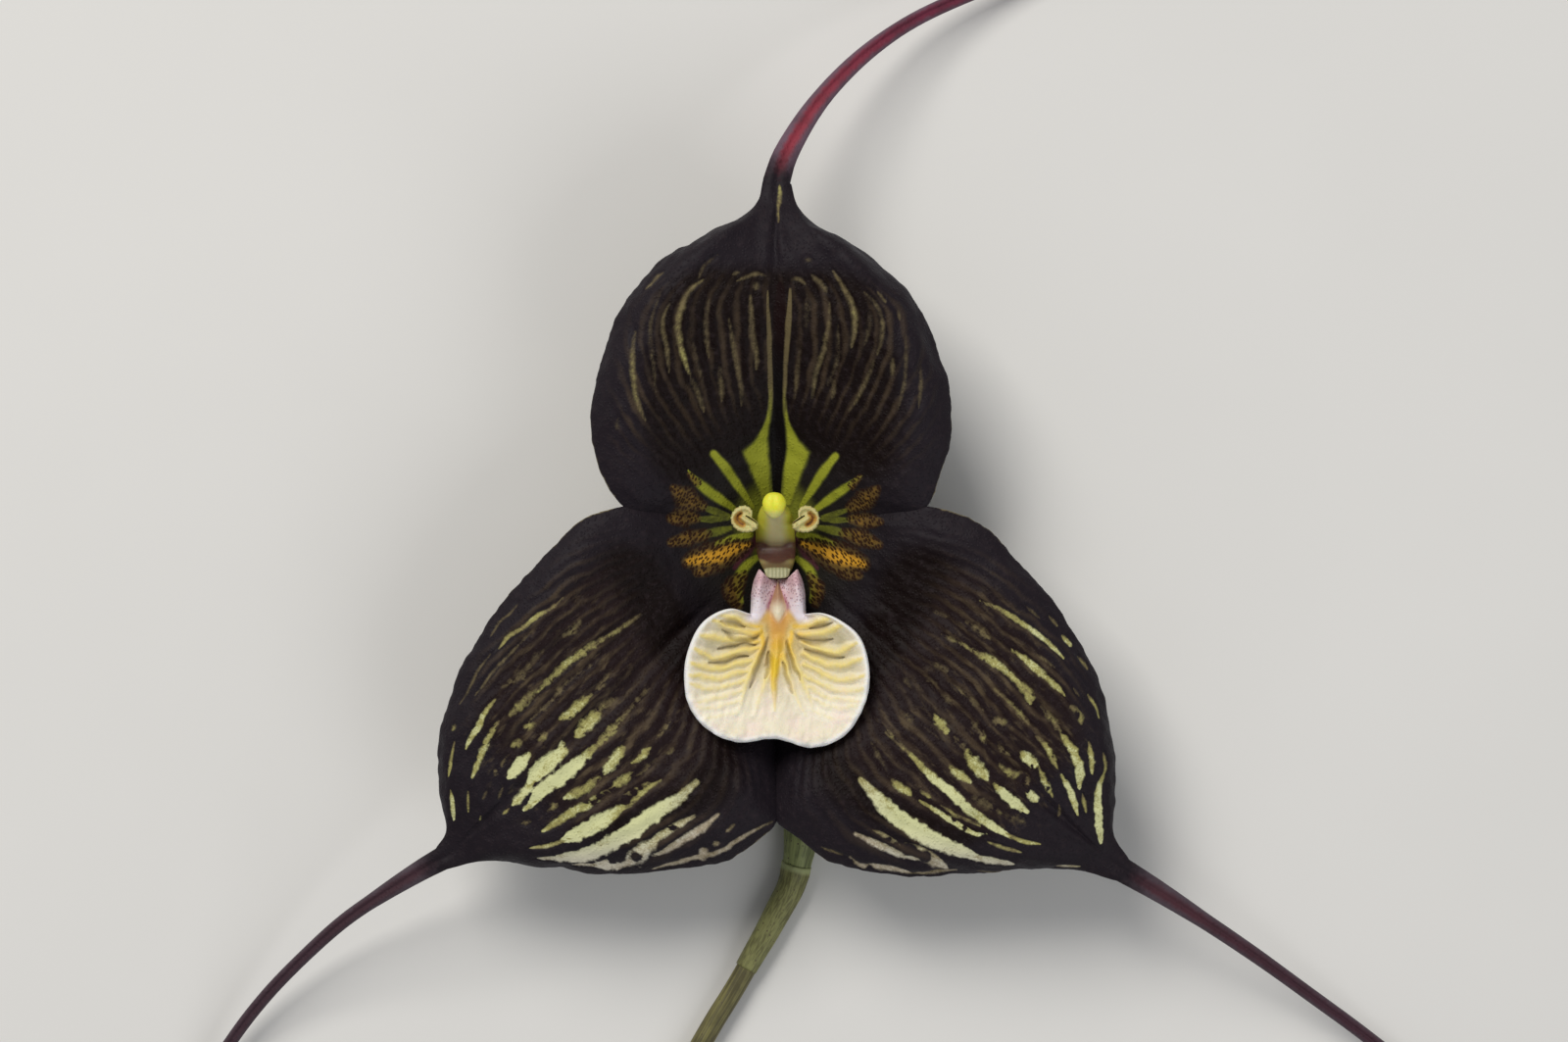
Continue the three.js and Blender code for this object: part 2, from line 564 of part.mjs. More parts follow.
// ---------------------------------------------------------------- the bloom
const bloom = new THREE.Group();
for (const [name, form] of Object.entries(SEPALS))
  bloom.add(piece(name, COLOURS.sepal, 0.55, sepalSolid(form)));
bloom.add(
  piece("left_petal", COLOURS.petal, 0.5, petalSolid(-1)),
  piece("right_petal", COLOURS.petal, 0.5, petalSolid(1)),
  piece("lip", COLOURS.lip, 0.5, lipSolid()),
  piece("column", COLOURS.column, 0.45, columnSolid()),
  piece("anther_cap", COLOURS.anther, 0.4, capSolid()),
  piece("ovary", COLOURS.ovary, 0.5, ovarySolid()),
  piece("floral_bract", COLOURS.bract, 0.6, bractSolid()),
  piece("flower_stalk", COLOURS.stalk, 0.5, stalkSolid()),
);

export default bloom;
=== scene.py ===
# %% [markdown]
# # A monkey face orchid, picked and laid face up
# Three dark sepals with long tails make the bloom. In its middle stand a small column with a
# yellow cap, two tiny petals and a pale lip ribbed like the underside of a mushroom. The packed
# solids give the sizes and the places. This file dresses each of them as a living surface.
# Shapes are worked out in millimetres with numpy, on grids of points, because a petal is a
# smooth function of two parameters. They become metres when they are put into a mesh.

import bpy
import numpy as np
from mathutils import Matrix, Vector


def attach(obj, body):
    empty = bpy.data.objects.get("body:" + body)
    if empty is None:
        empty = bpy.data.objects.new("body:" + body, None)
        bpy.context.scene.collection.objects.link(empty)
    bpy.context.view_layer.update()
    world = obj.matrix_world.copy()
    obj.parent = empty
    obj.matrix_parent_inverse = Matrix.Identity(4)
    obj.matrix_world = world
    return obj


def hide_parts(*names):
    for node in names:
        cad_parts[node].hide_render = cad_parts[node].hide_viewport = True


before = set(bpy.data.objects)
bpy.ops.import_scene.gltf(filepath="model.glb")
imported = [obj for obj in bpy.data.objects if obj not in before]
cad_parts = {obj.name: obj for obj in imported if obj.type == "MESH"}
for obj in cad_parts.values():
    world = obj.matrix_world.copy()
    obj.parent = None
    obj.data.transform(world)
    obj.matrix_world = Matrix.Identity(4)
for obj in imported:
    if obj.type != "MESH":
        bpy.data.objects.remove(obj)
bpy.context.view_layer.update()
print("solids:", sorted(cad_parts))

# %% [markdown]
# ## Numbers and curves
# Everything grown here follows a few smooth curves: a midrib, a margin, a stalk. A centripetal
# Catmull-Rom curve passes through its points without loops, so a few measured points are enough.
# It is read by its share of length, 0 at the start and 1 at the end.

# %% Curves and steps
MM = 0.001


def smooth(x, low, high):
    """0 below low, 1 above high, and 3u^2 - 2u^3 between them."""
    u = np.clip((np.asarray(x, float) - low) / (high - low), 0, 1)
    return u * u * (3 - 2 * u)


def plateau(x, start, full, fading, end):
    """0 up to start, 1 from full to fading, and 0 again beyond end, with smooth flanks."""
    return smooth(x, start, full) * (1 - smooth(x, fading, end))


def bell(x, width):
    """exp(-(x / width)^2): 1 in the middle, and nothing beyond about two widths."""
    return np.exp(-((np.asarray(x, float) / width) ** 2))


def stacked(*parts):
    """The parts, stretched to one shape, as x, y and z of one array."""
    return np.stack(np.broadcast_arrays(*parts), -1)


def unit(v):
    return v / np.linalg.norm(v, axis=-1, keepdims=True)


def round_turn(count):
    """The angles of points evenly spaced round a ring, half a space past the start."""
    return (np.arange(count) + 0.5) / count * 2 * np.pi


def curve(points, steps=48):
    """Cubic pieces whose slopes come from the neighbours' distances to the power 1/2."""
    points = np.array(points, float)
    ends = 2 * points[0] - points[1], 2 * points[-1] - points[-2]
    p = np.vstack([ends[0], points, ends[1]])
    gap = np.linalg.norm(np.diff(p, axis=0), axis=1)[:, None] ** 0.5
    before, here, after = gap[:-2], gap[1:-1], gap[2:]
    step, wide_in, wide_out = np.diff(p, axis=0), p[2:-1] - p[:-3], p[3:] - p[1:-2]
    leave = (step[:-2] / before - wide_in / (before + here) + step[1:-1] / here) * here
    arrive = (step[1:-1] / here - wide_out / (here + after) + step[2:] / after) * here
    u = np.linspace(0, 1, steps, endpoint=False)[:, None, None]
    start, rise = p[1:-2], step[1:-1]
    dense = start + leave * u + (3 * rise - 2 * leave - arrive) * u**2
    dense = dense + (leave + arrive - 2 * rise) * u**3
    dense = np.vstack([dense.transpose(1, 0, 2).reshape(-1, points.shape[1]), points[-1:]])
    run = np.concatenate([[0], np.cumsum(np.linalg.norm(np.diff(dense, axis=0), axis=1))])

    def at(share):
        share = np.asarray(share, float) * run[-1]
        return np.stack([np.interp(share, run, column) for column in dense.T], -1)

    return at


def ripple(places, size, seed, waves=24):
    """Many sine waves in random directions, each about `size` long, that add up to a height which
    is mostly between -1 and 1."""
    dice = np.random.default_rng(seed)
    ways = dice.normal(size=(places.shape[-1], waves))
    ways *= dice.uniform(0.7, 1.4, waves) / np.linalg.norm(ways, axis=0)
    swing = np.sin(places @ ways * (2 * np.pi / size) + dice.uniform(0, 2 * np.pi, waves))
    return swing.mean(-1) * waves**0.5


def ripples(places, waves, seed):
    """The sum of several ripples, each with its rise and its size."""
    return sum(rise * ripple(places, size, seed + k) for k, (rise, size) in enumerate(waves))


# %% [markdown]
# ## From rings of points to a closed mesh
# Each piece is a stack of rings. A ring goes across the front of a sepal from one margin to the
# other and comes back across its rear, or it goes once round a stalk. Neighbouring rings are
# joined by quads, and the first and last ring are closed by a ladder of quads across them, so
# every piece is one closed skin. Its sign of volume tells which way its faces point.

# %% Make a piece


def skin_faces(rows, count, sleeve):
    """Quads between each ring and the next, and a ladder of quads over each end."""
    joined = np.arange(rows if sleeve else rows - 1)
    ring, place = np.meshgrid(joined, np.arange(count), indexing="ij")
    here, after = ring * count, (ring + 1) % rows * count
    beside = (place + 1) % count
    corners = [here + place, here + beside, after + beside, after + place]
    faces = [np.stack(corners, -1).reshape(-1, 4)]
    if not sleeve:
        k = np.arange(count // 2 - 1)
        ladder = np.stack([k, count - 1 - k, count - 2 - k, k + 1], -1)
        faces += [ladder, ladder[:, ::-1] + (rows - 1) * count]
    return np.vstack(faces)


def grow(name, rings, material, slot, replaces=(), sleeve=False, **fields):
    """One closed piece from rings (rows, points, 3) in millimetres, with a value per point."""
    rows, count = rings.shape[:2]
    points = rings.reshape(-1, 3) * MM
    faces = skin_faces(rows, count, sleeve)
    a, b, c, d = (points[faces[:, k]] for k in range(4))
    volume = (np.cross(b, c) * a).sum() + (np.cross(c, d) * a).sum()
    if volume < 0:
        faces = faces[:, ::-1]
    mesh = bpy.data.meshes.new(name)
    mesh.from_pydata(points, [], faces.tolist())
    for field, values in fields.items():
        kind, slot_name = ("FLOAT_VECTOR", "vector") if values.ndim == 3 else ("FLOAT", "value")
        data = mesh.attributes.new(field, kind, "POINT").data
        data.foreach_set(slot_name, np.ascontiguousarray(values, np.float32).ravel())
    mesh.shade_smooth()
    mesh.materials.append(material)
    piece = bpy.data.objects.new(name, mesh)
    bpy.context.scene.collection.objects.link(piece)
    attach(piece, "root")
    if replaces:
        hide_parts(*replaces)
    low, high = points.min(0) / MM, points.max(0) / MM
    print(f"{name}: {2 * len(faces)} triangles, {low.round(1)} to {high.round(1)} mm")


# %% [markdown]
# ## Building finishes from nodes
# A finish is a small formula: a noise picks between two colours, a stored value decides where a
# stripe lies. These helpers add one node each and hand on its output, so that a finish reads
# from top to bottom. Colours are red, green and blue from 0 to 255, as on a paint chart.

# %% Shader helpers


def paint(red, green, blue):
    """An sRGB colour as the linear one a shader needs."""
    c = np.array([red, green, blue]) / 255
    linear = np.where(c <= 0.04045, c / 12.92, ((c + 0.055) / 1.055) ** 2.4)
    return (*linear, 1.0)


class Finish:
    """One material. Most methods add a node and return its output, and the last two the material."""

    def __init__(self, name, **settings):
        self.material = bpy.data.materials.new(name)
        self.material.use_nodes = True
        self.tree = self.material.node_tree
        self.shader = self.tree.nodes["Principled BSDF"]
        self.place = self.node("ShaderNodeTexCoord").outputs["Object"]
        for key, value in settings.items():
            socket = key.replace("_", " ").title().replace("Ior", "IOR")
            self.shader.inputs[socket].default_value = value

    def node(self, kind, inputs=(), **settings):
        made = self.tree.nodes.new(kind)
        for key, value in settings.items():
            setattr(made, key, value)
        for key, value in dict(inputs).items():
            self.feed(made.inputs[key], value)
        return made

    def feed(self, socket, value):
        if isinstance(value, bpy.types.NodeSocket):
            self.tree.links.new(value, socket)
        else:
            socket.default_value = value

    def stored(self, name):
        """The three parts of a stored vector."""
        return self.parts(self.node("ShaderNodeAttribute", attribute_name=name).outputs["Vector"])

    def number(self, name):
        return self.node("ShaderNodeAttribute", attribute_name=name).outputs["Fac"]

    def parts(self, vector):
        return self.node("ShaderNodeSeparateXYZ", {0: vector}).outputs

    def joined(self, x, y, z=0.0):
        return self.node("ShaderNodeCombineXYZ", {0: x, 1: y, 2: z}).outputs[0]

    def distance(self, place, centre):
        inputs = {0: place, 1: centre}
        return self.node("ShaderNodeVectorMath", inputs, operation="DISTANCE").outputs["Value"]

    def math(self, operation, first, second=0.0, third=0.0, clamp=False):
        inputs = {0: first, 1: second, 2: third}
        return self.node("ShaderNodeMath", inputs, operation=operation, use_clamp=clamp).outputs[0]

    def sum(self, first, second):
        return self.math("ADD", first, second)

    def times(self, first, second, clamp=False):
        return self.math("MULTIPLY", first, second, clamp=clamp)

    def scaled(self, value, by, plus=0.0):
        return self.math("MULTIPLY_ADD", value, by, plus)

    def swing(self, value, by=1.0):
        """A value of 0 to 1 as one that goes half of `by` to either side of 0."""
        return self.scaled(value, by, -by / 2)

    def noise(self, size, detail=3.0, place=None):
        """Soft noise, 0 to 1, whose blotches are about `size` millimetres across."""
        inputs = {"Vector": place or self.place, "Scale": 1 / (size * MM)}
        inputs |= {"Detail": detail, "Roughness": 0.55}
        return self.node("ShaderNodeTexNoise", inputs).outputs["Fac"]

    def cells(self, size, place=None, dimensions="3D"):
        """Distance from the nearest of many random points about `size` millimetres apart."""
        inputs = {"Vector": place or self.place, "Scale": 1 / (size * MM)}
        made = self.node("ShaderNodeTexVoronoi", inputs, voronoi_dimensions=dimensions)
        return made.outputs["Distance"]

    def step(self, value, low, high, start=0.0, end=1.0):
        """Smooth step of value from low to high."""
        inputs = {"Value": value, "From Min": low, "From Max": high, "To Min": start, "To Max": end}
        return self.node("ShaderNodeMapRange", inputs, interpolation_type="SMOOTHSTEP").outputs[0]

    def mixed(self, share, first, second):
        """first where share is 0 and second where it is 1: each is a colour or another output."""
        first, second = (paint(*c) if isinstance(c, tuple) else c for c in (first, second))
        return self.node("ShaderNodeMix", {0: share, 6: first, 7: second}, data_type="RGBA").outputs[2]

    def stretched(self, place, across, along, up=1.0):
        """A place with its three parts scaled, so that a pattern runs long or short."""
        inputs = {0: place, 1: (across, along, up)}
        return self.node("ShaderNodeVectorMath", inputs, operation="MULTIPLY").outputs[0]

    def coloured(self, value):
        self.feed(self.shader.inputs["Base Color"], value)
        return self.material

    def made(self, colour, roughness, height, depth, strength):
        """The whole material: colour, roughness, and a relief of `depth` millimetres in which
        a height goes from 0 to 1."""
        relief = {"Height": height, "Distance": depth * MM, "Strength": strength}
        self.feed(self.shader.inputs["Normal"], self.node("ShaderNodeBump", relief).outputs[0])
        self.feed(self.shader.inputs["Roughness"], roughness)
        return self.coloured(colour)


# %% [markdown]
# ## The sepals: a fan of veins
# A sepal opens from a narrow ring round the column, swells, and closes again into its tail. All
# of its veins run from the ring to the tail between two margins, so the surface is a fan: a vein
# lies at t from -1 on the first margin, through 0 on the midrib, to 1 on the second, and s is
# the share of the way out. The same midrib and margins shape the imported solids.

# %% Measures of the sepals
RING_CENTRE = np.array([0, 0.4])
RING_RADIUS = 1.8
SEAM_LEFT = [[-1.85, 1, 7.7], [-5.5, 1.5, 9.9], [-9.8, 2.3, 12.1], [-14, 3, 13.6]]
SEAM_RIGHT = [[-x, y, z] for x, y, z in SEAM_LEFT]
SEAM_DOWN = [
    [0, -1.55, 7.5], [0, -5.5, 6.7], [0, -11, 6.4], [0, -17, 7.4], [0.1, -22, 9.4], [0.15, -26.2, 11],
]
# swell is how high the open blade bulges, and softness how far dim stripes spread. dust is the
# strength of the specks between the stripes, which crowd round t = lean. spread lists values of s,
# and how wide apart the streaks of the ground run there. widths are evenly spaced along the tail,
# and redness is how wine red its face is. The two laterals share some of these.
LATERAL = {
    "swell": 1.5, "dust": 1.0, "softness": 1.0,
    "spread": [[0.3, 0.45, 0.6, 0.7, 0.85], [0.68, 0.8, 0.92, 1.0, 1.12]],
}
SEPALS = {
    "dorsal_sepal": {
        "midrib": [
            [0, 2.35, 7.7], [0, 6.5, 9.4], [0, 11, 11.6], [0, 16.5, 14.1],
            [0, 22, 15.9], [0, 26.8, 15.6], [0.05, 30.5, 13.9], [0.14, 33.2, 12.2],
        ],
        "margins": (
            SEAM_LEFT + [
                [-16.6, 7.3, 13.9], [-17.2, 12, 14], [-15.9, 18, 14], [-12.4, 24.2, 13.7],
                [-7, 28.1, 13.4], [-3.4, 29.7, 13.1], [-1.65, 31.4, 12.7], [-1.15, 33.2, 12.2],
            ],
            SEAM_RIGHT + [
                [15.9, 7.3, 13.9], [16.5, 12, 14], [15.4, 17.6, 14], [12.2, 23.3, 13.7],
                [7, 27.5, 13.4], [3.8, 29.2, 13.1], [2.1, 31, 12.7], [1.43, 33.2, 12.2],
            ],
        ),
        "tail": [
            [0.14, 33.2, 12.2], [0.75, 35.2, 11.3], [1.82, 37.3, 10.3], [3.55, 40, 9], [5.8, 42.7, 7.6],
            [8.8, 45.5, 6], [12.7, 48.2, 4.3], [17.5, 50.5, 2.8], [25, 53.2, 1.4], [35, 56, 0.8],
            [46, 59.2, 0.6], [57, 63.6, 0.5], [66, 69.5, 0.5],
        ],
        "widths": [2.55, 1.75, 1.4, 1.3, 1.25, 1.2, 1.15, 1.05, 0.85],
        "swell": 2.1, "redness": 1.0, "dust": 0.0, "softness": 1.9, "lean": 0.0,
        "spread": [[0.3, 0.45, 0.55, 0.636, 0.67, 0.72, 0.8], [0.55, 0.74, 0.88, 1.0, 0.98, 0.85, 0.6]],
    },
    "left_lateral_sepal": LATERAL | {
        "midrib": [
            [-1.38, -1, 7.7], [-5, -4.8, 9.2], [-10, -9.8, 11.6], [-16.5, -16, 13.9],
            [-22.7, -22, 14], [-27.4, -26.6, 12.2], [-31, -29.7, 10],
        ],
        "margins": (
            SEAM_DOWN + [
                [-2, -28.5, 11], [-4.5, -29.9, 10.6], [-9.2, -30.8, 10.4], [-15.5, -31.2, 10.2],
                [-22.8, -30.35, 10], [-27.1, -29.95, 10], [-30.45, -30.65, 10],
            ],
            SEAM_LEFT + [
                [-17.9, 1.9, 13.7], [-22.5, -2.4, 13.2], [-27.6, -9, 12.3], [-30.7, -16, 11.6],
                [-31.4, -22.8, 11], [-30.6, -27.1, 10.5], [-31.55, -28.75, 10],
            ],
        ),
        "tail": [
            [-31, -29.7, 10], [-32.8, -30.7, 9.2], [-36.5, -33, 7.7], [-40.1, -35.5, 6.1],
            [-43.7, -38.7, 4.5], [-47.4, -42.5, 3.1], [-50.6, -46.6, 2.1], [-54.3, -52.6, 1.2],
            [-57.2, -60, 0.75], [-58.8, -68.5, 0.6], [-58.6, -77, 0.5], [-56.4, -85.5, 0.5],
        ],
        "widths": [2.2, 1.35, 1.22, 1.2, 1.15, 1.1, 1.05, 1, 0.85],
        "redness": 0.06, "lean": 0.15,
    },
    "right_lateral_sepal": LATERAL | {
        "midrib": [
            [1.38, -1, 7.7], [5, -4.8, 9.2], [10, -9.8, 11.6], [16.5, -16, 13.9],
            [23, -22.3, 14], [28.4, -27.4, 12.2], [32.3, -30.75, 10],
        ],
        "margins": (
            SEAM_RIGHT + [
                [18.3, 1.9, 13.7], [23.2, -2.45, 13.2], [28.2, -9.2, 12.3], [31.1, -16, 11.6],
                [31.7, -22.8, 11], [31.5, -27.4, 10.5], [32.9, -29.75, 10],
            ],
            SEAM_DOWN + [
                [2.25, -28.1, 11], [4, -29.4, 10.8], [6.6, -30.5, 10.6], [14, -31.4, 10.2],
                [23.5, -30.8, 10], [28, -30.8, 10], [31.7, -31.75, 10],
            ],
        ),
        "tail": [
            [32.3, -30.75, 10], [35.4, -32.6, 8.9], [39, -34.9, 7.5], [44.5, -38.6, 5.3],
            [49.9, -42.5, 3.6], [55.2, -46.4, 2.3], [62.4, -52.2, 1.2], [69.6, -59.2, 0.75],
            [75.5, -67, 0.6], [79.8, -76, 0.5], [82, -84.5, 0.5],
        ],
        "widths": [2.3, 1.5, 1.3, 1.25, 1.2, 1.15, 1.1, 1, 0.85],
        "redness": 0.15, "lean": -0.15,
    },
}

BLADE_THICK, MARGIN_THICK = 0.95, 0.5
MARGIN_ROUND = 0.4  # how far in from a margin the two faces begin to close
MIDRIB_GROOVE, STRIPE_DEPTH = 0.4, 0.10
RIB_RISE, RIB_COUNT = 0.06, 21
# ripples on the face and in the free margin: how high or far out each goes, and its length
CRUMPLES = [(0.12, 5.5), (0.045, 1.6)]
TEETH = [(0.025, 0.9), (0.015, 3.6)]
SEAM_OVERLAP = 0.12  # how far a blade goes past a seam into its neighbour
VEINS = 161  # points across a face
BLADE_ROWS, TAIL_ROWS = 176, 84
TAIL_DEPTH = 0.5
TIP_SHARE = 0.006  # the last share of the tail, which is rounded off
TAIL_START = 0.9  # the share of the blade where it begins to turn into the tail

# %% The surface of a blade


def by_side(t, first, second):
    """first on the side of the first margin, and second on the other."""
    return np.where((t < 0)[..., None], first, second)


def blade(form, s, t):
    """Midrib plus |t| of the way to the margin. Its height rises as |t| to a power, with a
    swelling of |t|^3 (1 - |t|) in the open part, a furrow on the midrib, and a start on the ring."""
    rib, margins = curve(form["midrib"]), [curve(m) for m in form["margins"]]
    out = np.abs(t)

    def fan(share):
        middle, edge = rib(share), by_side(t, *(margin(share) for margin in margins))
        return middle, edge - middle, middle + (edge - middle) * out[..., None]

    middle, reach, place = fan(s)
    open_part = plateau(s, 0.05, 0.45, 0.82, 1)
    height = middle[..., 2] + reach[..., 2] * out ** (1 + 0.6 * open_part)
    height += form["swell"] * open_part * out**3 * (1 - out) / (0.75**3 * 0.25)
    height -= MIDRIB_GROOVE * plateau(s, 0.1, 0.3, 0.85, 1) * bell(t, 0.05)
    place[..., 2] = height
    start = fan(0 * s)[2]
    start[..., :2] = RING_CENTRE + RING_RADIUS * unit(start[..., :2] - RING_CENTRE)
    return start + (place - start) * smooth(s, 0, 0.15)[..., None]


def normals(surface):
    """Cross product of the steps across the veins and along them, as unit vectors."""
    return unit(np.cross(np.gradient(surface, axis=1), np.gradient(surface, axis=0)))


even = np.linspace(-1, 1, VEINS)
vein = 0.65 * even + 0.35 * (1.5 * even - 0.5 * even**3)  # closer together near the margins
row = np.linspace(0, 1, BLADE_ROWS)
print("blade grid:", BLADE_ROWS, "rows of", VEINS, "points")

# %% [markdown]
# ## Where the pale stripes lie
# The blackish blades carry pale stripes between their veins, broken like brush strokes. Each
# stroke is written as its width in millimetres, its brightness, and then x and y, in plan, of
# each point that it passes through. For every point of the blade the nearest stroke is found, and
# 1 minus its distance over the stroke's half width is stored. The shader turns that into a ragged
# edge, which stays crisp however close the camera comes. Dim strokes spread into a soft smear,
# and bright ones keep their width.

# %% Strokes and dots of each blade
STROKES, DOTS = {}, {}

STROKES["dorsal_sepal"] = [
    (0.3, 0.6, 0.2, 29.4, 0.3, 31.3, 0.3, 32.9),
    (0.5, 0.45, -2.3, 22.6, -2.2, 20.7, -2.1, 18.9, -1.7, 16.7, -1.7, 15.6),
    (0.35, 0.42, -0.8, 24.4, -1.7, 24.6, -2.6, 24.3, -3.6, 23.9),
    (0.45, 0.4, -4.3, 20.5, -4, 18.9, -3.6, 16.5, -3.2, 14.2, -3.1, 12.3),
    (0.45, 0.35, -5.1, 16, -5, 14.1, -4.9, 12.7),
    (0.45, 0.36, -6.1, 22.2, -6.4, 20.3, -6.3, 18.4, -6.1, 16.8),
    (0.55, 0.58, -6.6, 24, -7.8, 23.2, -8.6, 21.7, -9, 20, -8.8, 18.4, -8.4, 16.5, -7.9, 15.1),
    (0.45, 0.38, -7.9, 15.1, -7.2, 13.7, -6.6, 11.8),
    (0.4, 0.4, -9.7, 21.9, -10.3, 20.8, -10.4, 19.4, -10, 17.7, -9.8, 15.4),
    (0.4, 0.3, -10.6, 22.9, -11.6, 19.8, -11.5, 17.9, -11.2, 15.3, -11.1, 13.5),
    (0.5, 0.48, -13.1, 19.3, -13.2, 17, -13.1, 14.6, -12.7, 12.5, -12, 10.9),
    (0.35, 0.42, -10.4, 24.8, -11.1, 24.2, -12, 23.1),
    (0.3, 0.28, -5.2, 26.4, -6.6, 25.2, -7.1, 24),
    (0.3, 0.35, -3.3, 24.7, -4, 24.5),
    (0.5, 0.4, -1.7, 23.7, -1.8, 23.2),
    (0.4, 0.28, -14.6, 11.1, -14.7, 10.2),
    (0.4, 0.28, -7.5, 18.4, -7.3, 16.5, -6.6, 14.4),
    (0.5, 0.3, 2.9, 22.6, 2.9, 20.8, 2.8, 19.6),
    (0.4, 0.35, 2.3, 17.7, 2, 15.1, 1.8, 13),
    (0.45, 0.45, 3.3, 24.5, 4.2, 23.6, 4.8, 22.8),
    (0.45, 0.42, 5, 21.9, 5, 20.3, 4.7, 18.6, 4.5, 17.5, 3.8, 15.6, 3.4, 13),
    (0.5, 0.52, 5.3, 24.8, 6.1, 23.6, 6.8, 22.4, 7.3, 20.8, 7.3, 18.9, 7, 17.7),
    (0.45, 0.4, 5.4, 14.7, 5.3, 13),
    (0.4, 0.25, 8.7, 21.6, 8.7, 19.8, 8.2, 17.9),
    (0.4, 0.38, 8.2, 22.9, 9.2, 21.9, 9.8, 20.7, 9.9, 18.9, 9.4, 17),
    (0.42, 0.36, 9.2, 16.6, 8.4, 14.7, 7.7, 13.2, 6.8, 11.8),
    (0.35, 0.4, 9.5, 22.9, 10.3, 21.9),
    (0.3, 0.36, 11.4, 21.2, 11.6, 20.3),
    (0.42, 0.38, 10.9, 16.8, 10.8, 15.1),
    (0.35, 0.32, 12.1, 18.9, 12.1, 16.5, 11.9, 14.2, 11.3, 11.9),
    (0.35, 0.36, 13.5, 16.5, 13.5, 14.1, 13.3, 12.1),
    (0.35, 0.36, 1.4, 24, 2.2, 24.1, 2.8, 23.6),
    (0.4, 0.28, 2.8, 25.9, 3.3, 25.8),
    (0.4, 0.28, 5.8, 19.8, 5.7, 16.5, 4.7, 14.1),
]
